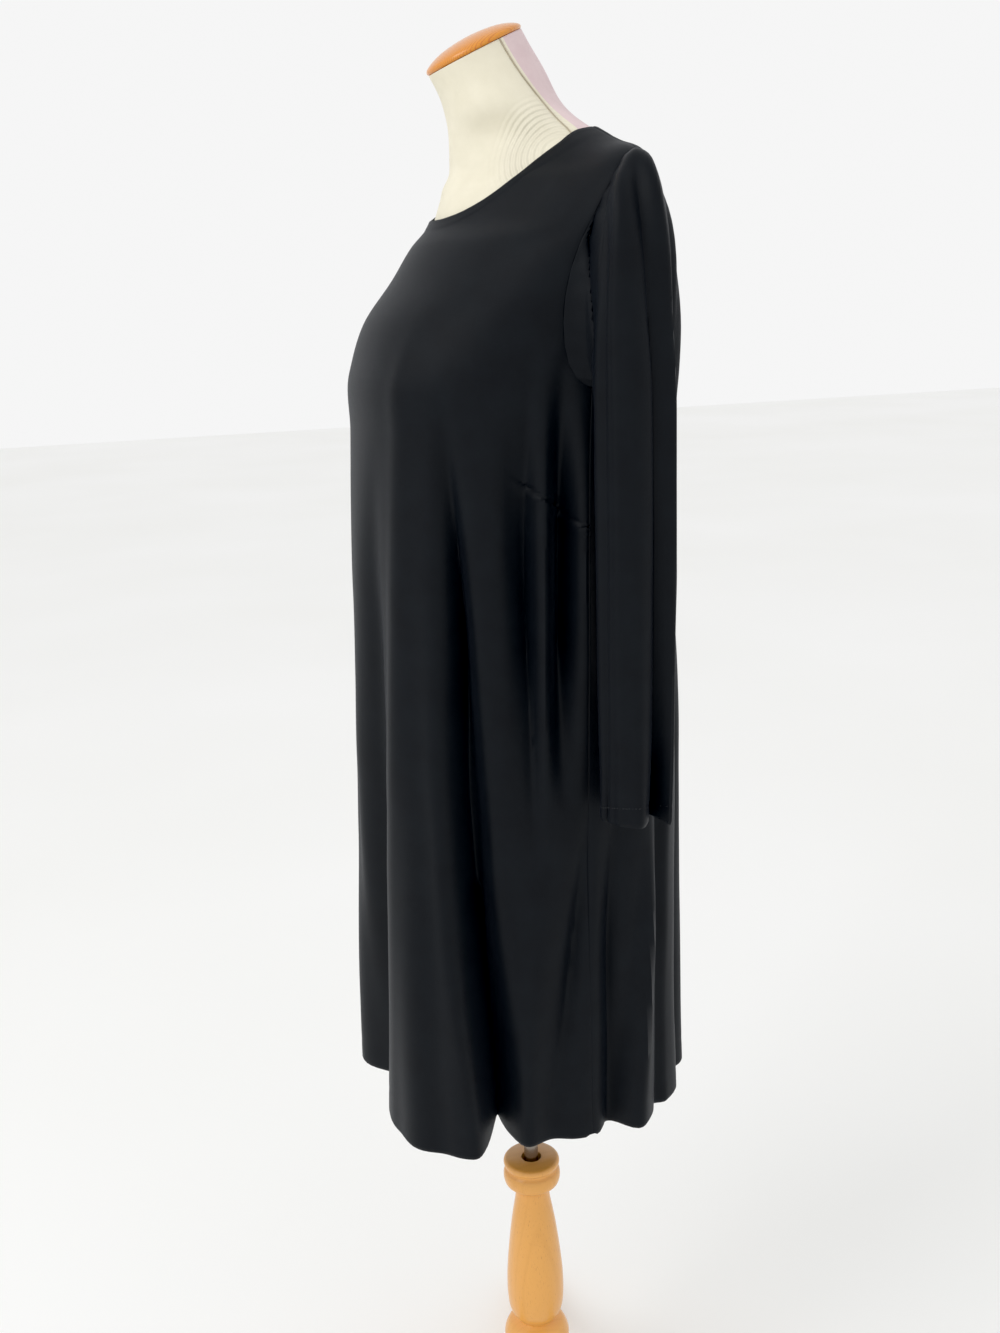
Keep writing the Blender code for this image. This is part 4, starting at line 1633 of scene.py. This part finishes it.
    def cord(self, name: str, path: list[Vector]) -> bpy.types.Object:
        """Lays a round cord along a path.

        Args:
            name: The piece's name.
            path: The points of its middle, measured from the pole.

        Returns:
            The cord.
        """
        count = 10
        rows = []
        for index, point in enumerate(path):
            ahead, back = path[min(len(path) - 1, index + 1)], path[max(0, index - 1)]
            along = (ahead - back).normalized()
            aside = along.cross(Vector((0, 1, 0))).normalized()
            over = along.cross(aside)
            row = []
            for step in range(count + 1):
                angle = math.tau * step / count
                out = aside * math.cos(angle) + over * math.sin(angle)
                row.append(point + out * self.cord_radius)
            rows.append(row)
        piece = grid_skin(name, rows, closed=True)
        bm = bmesh.new()
        bm.from_mesh(piece.data)
        bmesh.ops.holes_fill(bm, edges=[edge for edge in bm.edges if edge.is_boundary], sides=count + 2)
        bmesh.ops.recalc_face_normals(bm, faces=bm.faces)
        bm.to_mesh(piece.data)
        bm.free()
        return piece

    def build_cap(self) -> bpy.types.Object:
        """Builds the domed wooden cap, tilted with the top of the neck."""
        top = NECK_RINGS[-1]
        tilt = math.radians(top.tilt)
        away = Vector((0, -math.sin(tilt), math.cos(tilt))) * self.cap_lift
        place = Matrix.Translation(AXIS + Vector((0, top.y, top.z)) + away) @ Matrix.Rotation(tilt, 4, "X")
        return turned("neck_cap_dome", CAP_PROFILE, 96, place)


# The stand


@dataclass(frozen=True)
class Stand:
    """The turned column with its legs, clamp screw and steel pole."""

    column_top: float = 0.398
    column_foot: float = 0.072
    bore: float = 0.0083
    mouth: float = 0.0115
    mouth_depth: float = 0.012
    pole_radius: float = 0.008
    pole_bottom: float = 0.11
    pole_top: float = 0.96
    screw_z: float = 0.375
    screw_heading: float = 163.0
    leg_thickness: float = 0.024
    leg_headings: tuple[float, ...] = (163.0, 283.0, 43.0)

    def build_column(self) -> bpy.types.Object:
        """Turns the column, with its bore and the wider mouth at the top."""
        steps = 260
        outside = []
        for index in range(steps + 1):
            z = self.column_foot + (self.column_top - self.column_foot) * index / steps
            outside.append(TurnedPoint(z, between(COLUMN_PROFILE, z).radius))
        inside = [
            TurnedPoint(self.column_top, self.mouth),
            TurnedPoint(self.column_top - self.mouth_depth + 0.002, self.mouth),
            TurnedPoint(self.column_top - self.mouth_depth, self.bore),
            TurnedPoint(self.column_foot, self.bore),
        ]
        return turned("column_turning", tuple(outside + inside), 80, Matrix.Translation(AXIS), closed=True)

    def build_pole(self) -> bpy.types.Object:
        """Draws the steel pole, with its edges broken."""
        radius, ease_off = self.pole_radius, 0.0008
        profile = (
            TurnedPoint(self.pole_bottom, 0.0),
            TurnedPoint(self.pole_bottom, radius - ease_off),
            TurnedPoint(self.pole_bottom + ease_off, radius),
            TurnedPoint(self.pole_top - ease_off, radius),
            TurnedPoint(self.pole_top, radius - ease_off),
            TurnedPoint(self.pole_top, 0.0),
        )
        return turned("pole_tube", profile, 64, Matrix.Translation(AXIS))

    def build_screw(self) -> bpy.types.Object:
        """Turns the clamp screw that holds the pole at its height."""
        heading = Matrix.Rotation(math.radians(self.screw_heading), 4, "Z")
        turn = heading @ Matrix.Rotation(math.pi / 2, 4, "Y")
        place = Matrix.Translation(AXIS + Vector((0, 0, self.screw_z))) @ turn
        return turned("clamp_screw_turning", SCREW_PROFILE, 48, place)

    def build_leg(self, number: int) -> bpy.types.Object:
        """Saws a leg from a board and rounds its edges.

        Args:
            number: 1, 2 or 3, as the leg's node.

        Returns:
            The leg.
        """
        half = self.leg_thickness / 2
        bm = bmesh.new()
        corners = [bm.verts.new((point.out, -half, point.z)) for point in LEG_OUTLINE]
        outline = [bm.edges.new(pair) for pair in zip(corners, corners[1:] + corners[:1])]
        board = bmesh.ops.edgeloop_fill(bm, edges=outline)["faces"]
        raised = bmesh.ops.extrude_face_region(bm, geom=board)["geom"]
        moved = [item for item in raised if isinstance(item, bmesh.types.BMVert)]
        bmesh.ops.translate(bm, vec=(0, self.leg_thickness, 0), verts=moved)
        bmesh.ops.recalc_face_normals(bm, faces=bm.faces)
        faces = [face for face in bm.faces if abs(face.normal.y) > 0.9]
        edges = [edge for face in faces for edge in face.edges if min(v.co.z for v in edge.verts) > 0.001]
        bmesh.ops.bevel(
            bm,
            geom=edges,
            offset=0.003,
            offset_type="OFFSET",
            affect="EDGES",
            segments=3,
            profile=0.5,
            material=-1,
        )
        heading = Matrix.Rotation(math.radians(self.leg_headings[number - 1]), 4, "Z")
        bmesh.ops.transform(bm, matrix=Matrix.Translation(AXIS) @ heading, verts=bm.verts)
        return finish_mesh(f"leg_{number}_board", bm, 35.0)


# The studio


@dataclass(frozen=True)
class Studio:
    """The photograph's camera, a pale floor and soft light from the wearer's front."""

    distance: float = 1.39
    azimuth: float = 73.0
    height: float = 1.354
    pitch: float = 15.0
    aside: float = 15.6
    focal: float = 1383.0
    roll: float = 0.036
    sensor: float = 36.0
    long_side: float = 1333.0
    daylight: float = 0.92
    window: float = 27.0
    black_point: float = 0.003

    def place_camera(self) -> None:
        """Puts the camera where the photograph was taken from."""
        turn, down = math.radians(self.azimuth), math.radians(self.pitch)
        away = Vector((math.sin(turn), -math.cos(turn), 0))
        aside = Vector((math.cos(turn), math.sin(turn), 0))
        yaw = math.atan(self.aside / self.focal)
        level = -away * math.cos(yaw) - aside * math.sin(yaw)
        right = aside * math.cos(yaw) - away * math.sin(yaw)
        forward = level * math.cos(down) - Vector((0, 0, math.sin(down)))
        up = right.cross(forward)
        camera_x = right * math.cos(self.roll) - up * math.sin(self.roll)
        camera_y = up * math.cos(self.roll) + right * math.sin(self.roll)
        data = bpy.data.cameras.new("photograph_camera")
        data.sensor_width = self.sensor
        data.lens = self.focal * self.sensor / self.long_side
        data.clip_start, data.clip_end = 0.05, 60.0
        camera = bpy.data.objects.new("photograph_camera", data)
        bpy.context.scene.collection.objects.link(camera)
        turned_frame = Matrix((camera_x, camera_y, -forward)).transposed().to_4x4()
        turned_frame.translation = AXIS + away * self.distance + Vector((0, 0, self.height))
        camera.matrix_world = turned_frame
        bpy.context.scene.camera = camera

    def add_light(self, name: str, place: Vector, aim: Vector, size: float, power: float) -> None:
        """Hangs a square soft light.

        Args:
            name: The light's name.
            place: Where it hangs.
            aim: What it points at.
            size: Its side in metres.
            power: Its power in watts.
        """
        data = bpy.data.lights.new(name, "AREA")
        data.shape = "SQUARE"
        data.size = size
        data.energy = power
        light = bpy.data.objects.new(name, data)
        light.location = place
        light.rotation_euler = (aim - place).to_track_quat("-Z", "Y").to_euler()
        bpy.context.scene.collection.objects.link(light)

    def set_up(self) -> None:
        """Sets the floor, the backdrop light and the lamps."""
        scene = bpy.context.scene
        scene.view_settings.view_transform = "Standard"
        scene.view_settings.use_curve_mapping = True
        scene.view_settings.curve_mapping.black_level = (self.black_point,) * 3
        world = bpy.data.worlds.new("pale_studio")
        world.use_nodes = True
        world.node_tree.nodes["Background"].inputs["Color"].default_value = linear("#FFFFFF")
        world.node_tree.nodes["Background"].inputs["Strength"].default_value = self.daylight
        scene.world = world
        bm = bmesh.new()
        bmesh.ops.create_grid(bm, x_segments=1, y_segments=1, size=14.0)
        floor = finish_mesh("studio_floor", bm)
        material, shader = new_material("studio_floor_paper_matt_white", {"Roughness": 0.95})
        tree = material.node_tree
        place = add_node(tree, "ShaderNodeTexCoord", {})
        cloud = add_node(tree, "ShaderNodeTexNoise", {"Vector": place.outputs["Object"], "Scale": 0.7})
        colour = ramp(tree, cloud.outputs[0], [(0.3, "#F6F6F4"), (0.7, "#F9F9F8")])
        tree.links.new(colour, shader.inputs["Base Color"])
        floor.data.materials.append(material)
        self.place_camera()
        body = AXIS + Vector((0, 0, 1.1))
        self.add_light("window_front", body + Vector((1.05, -2.45, 1.75)), body, 1.5, self.window)


def carry(
    piece: bpy.types.Object, body: str, finish: bpy.types.Material | None
) -> bpy.types.Object:
    """Gives a piece its finish and puts it on its body.

    Args:
        piece: The piece.
        body: The body that it moves with.
        finish: Its material, or none if it has its own.

    Returns:
        The piece.
    """
    if finish is not None:
        piece.data.materials.append(finish)
    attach(piece, body)
    LOG.info("%s rides on %s", piece.name, body)
    return piece


def make_dress(drape: Drape, cut: Cut) -> None:
    """Builds the four cloth pieces and the sewing of the sleeves.

    Args:
        drape: The body cloth.
        cut: The dress's measures.
    """
    jersey, thread = JERSEY.make(), BLACK_THREAD.make()
    panels = (
        Panel("front_panel", "dress_front", Side.FRONT, 150, drape, cut, 0.78, 0.95, 0.60),
        Panel("back_panel", "dress_back", Side.BACK, 120, drape, cut, 0.62, 1.01, 0.52),
    )
    for panel in panels:
        piece = carry(panel.build(), "form", jersey)
        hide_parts(panel.node)
    for name, node, side in (
        ("left_sleeve", "sleeve_left", Side.LEFT),
        ("right_sleeve", "sleeve_right", Side.RIGHT),
    ):
        sleeve = Sleeve(name, node, side, drape, cut, 0.33, 0.62, 0.14)
        piece = carry(sleeve.build(), "form", jersey)
        stitches = carry(sleeve.stitches(), "form", thread)
        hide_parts(sleeve.node)


def make_form(form: DressForm) -> None:
    """Builds the covered torso, its piping and its cap.

    Args:
        form: The dress form.
    """
    cover = carry(form.build_cover(), "form", None)
    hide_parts("form_torso")
    cord = CREAM_CORD.make()
    for piping in form.build_cords():
        carry(piping, "form", cord)
    cap = carry(form.build_cap(), "form", CAP_WOOD.make())
    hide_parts("neck_cap")


def make_stand(stand: Stand) -> None:
    """Builds the column, the pole, the clamp screw and the legs.

    Args:
        stand: The stand.
    """
    beech, sawn = BEECH.make(), BEECH_LEG.make()
    column = carry(stand.build_column(), "stand", beech)
    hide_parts("stand_column")
    screw = carry(stand.build_screw(), "screw", beech)
    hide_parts("clamp_screw")
    pole = carry(stand.build_pole(), "pole", SteelFinish().make())
    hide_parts("pole")
    for number in (1, 2, 3):
        leg = carry(stand.build_leg(number), "stand", sawn)
        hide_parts(f"leg_{number}")


def main() -> None:
    """Builds the studio, then the dress, its form and the stand."""
    logging.basicConfig(level=logging.INFO, format="%(name)s: %(message)s")
    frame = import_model()
    LOG.info("frame has %d nodes", len(frame["nodes"]))
    drape, cut = Drape(), Cut()
    Studio().set_up()
    make_dress(drape, cut)
    make_form(DressForm(drape))
    make_stand(Stand())


if __name__ == "__main__":
    main()
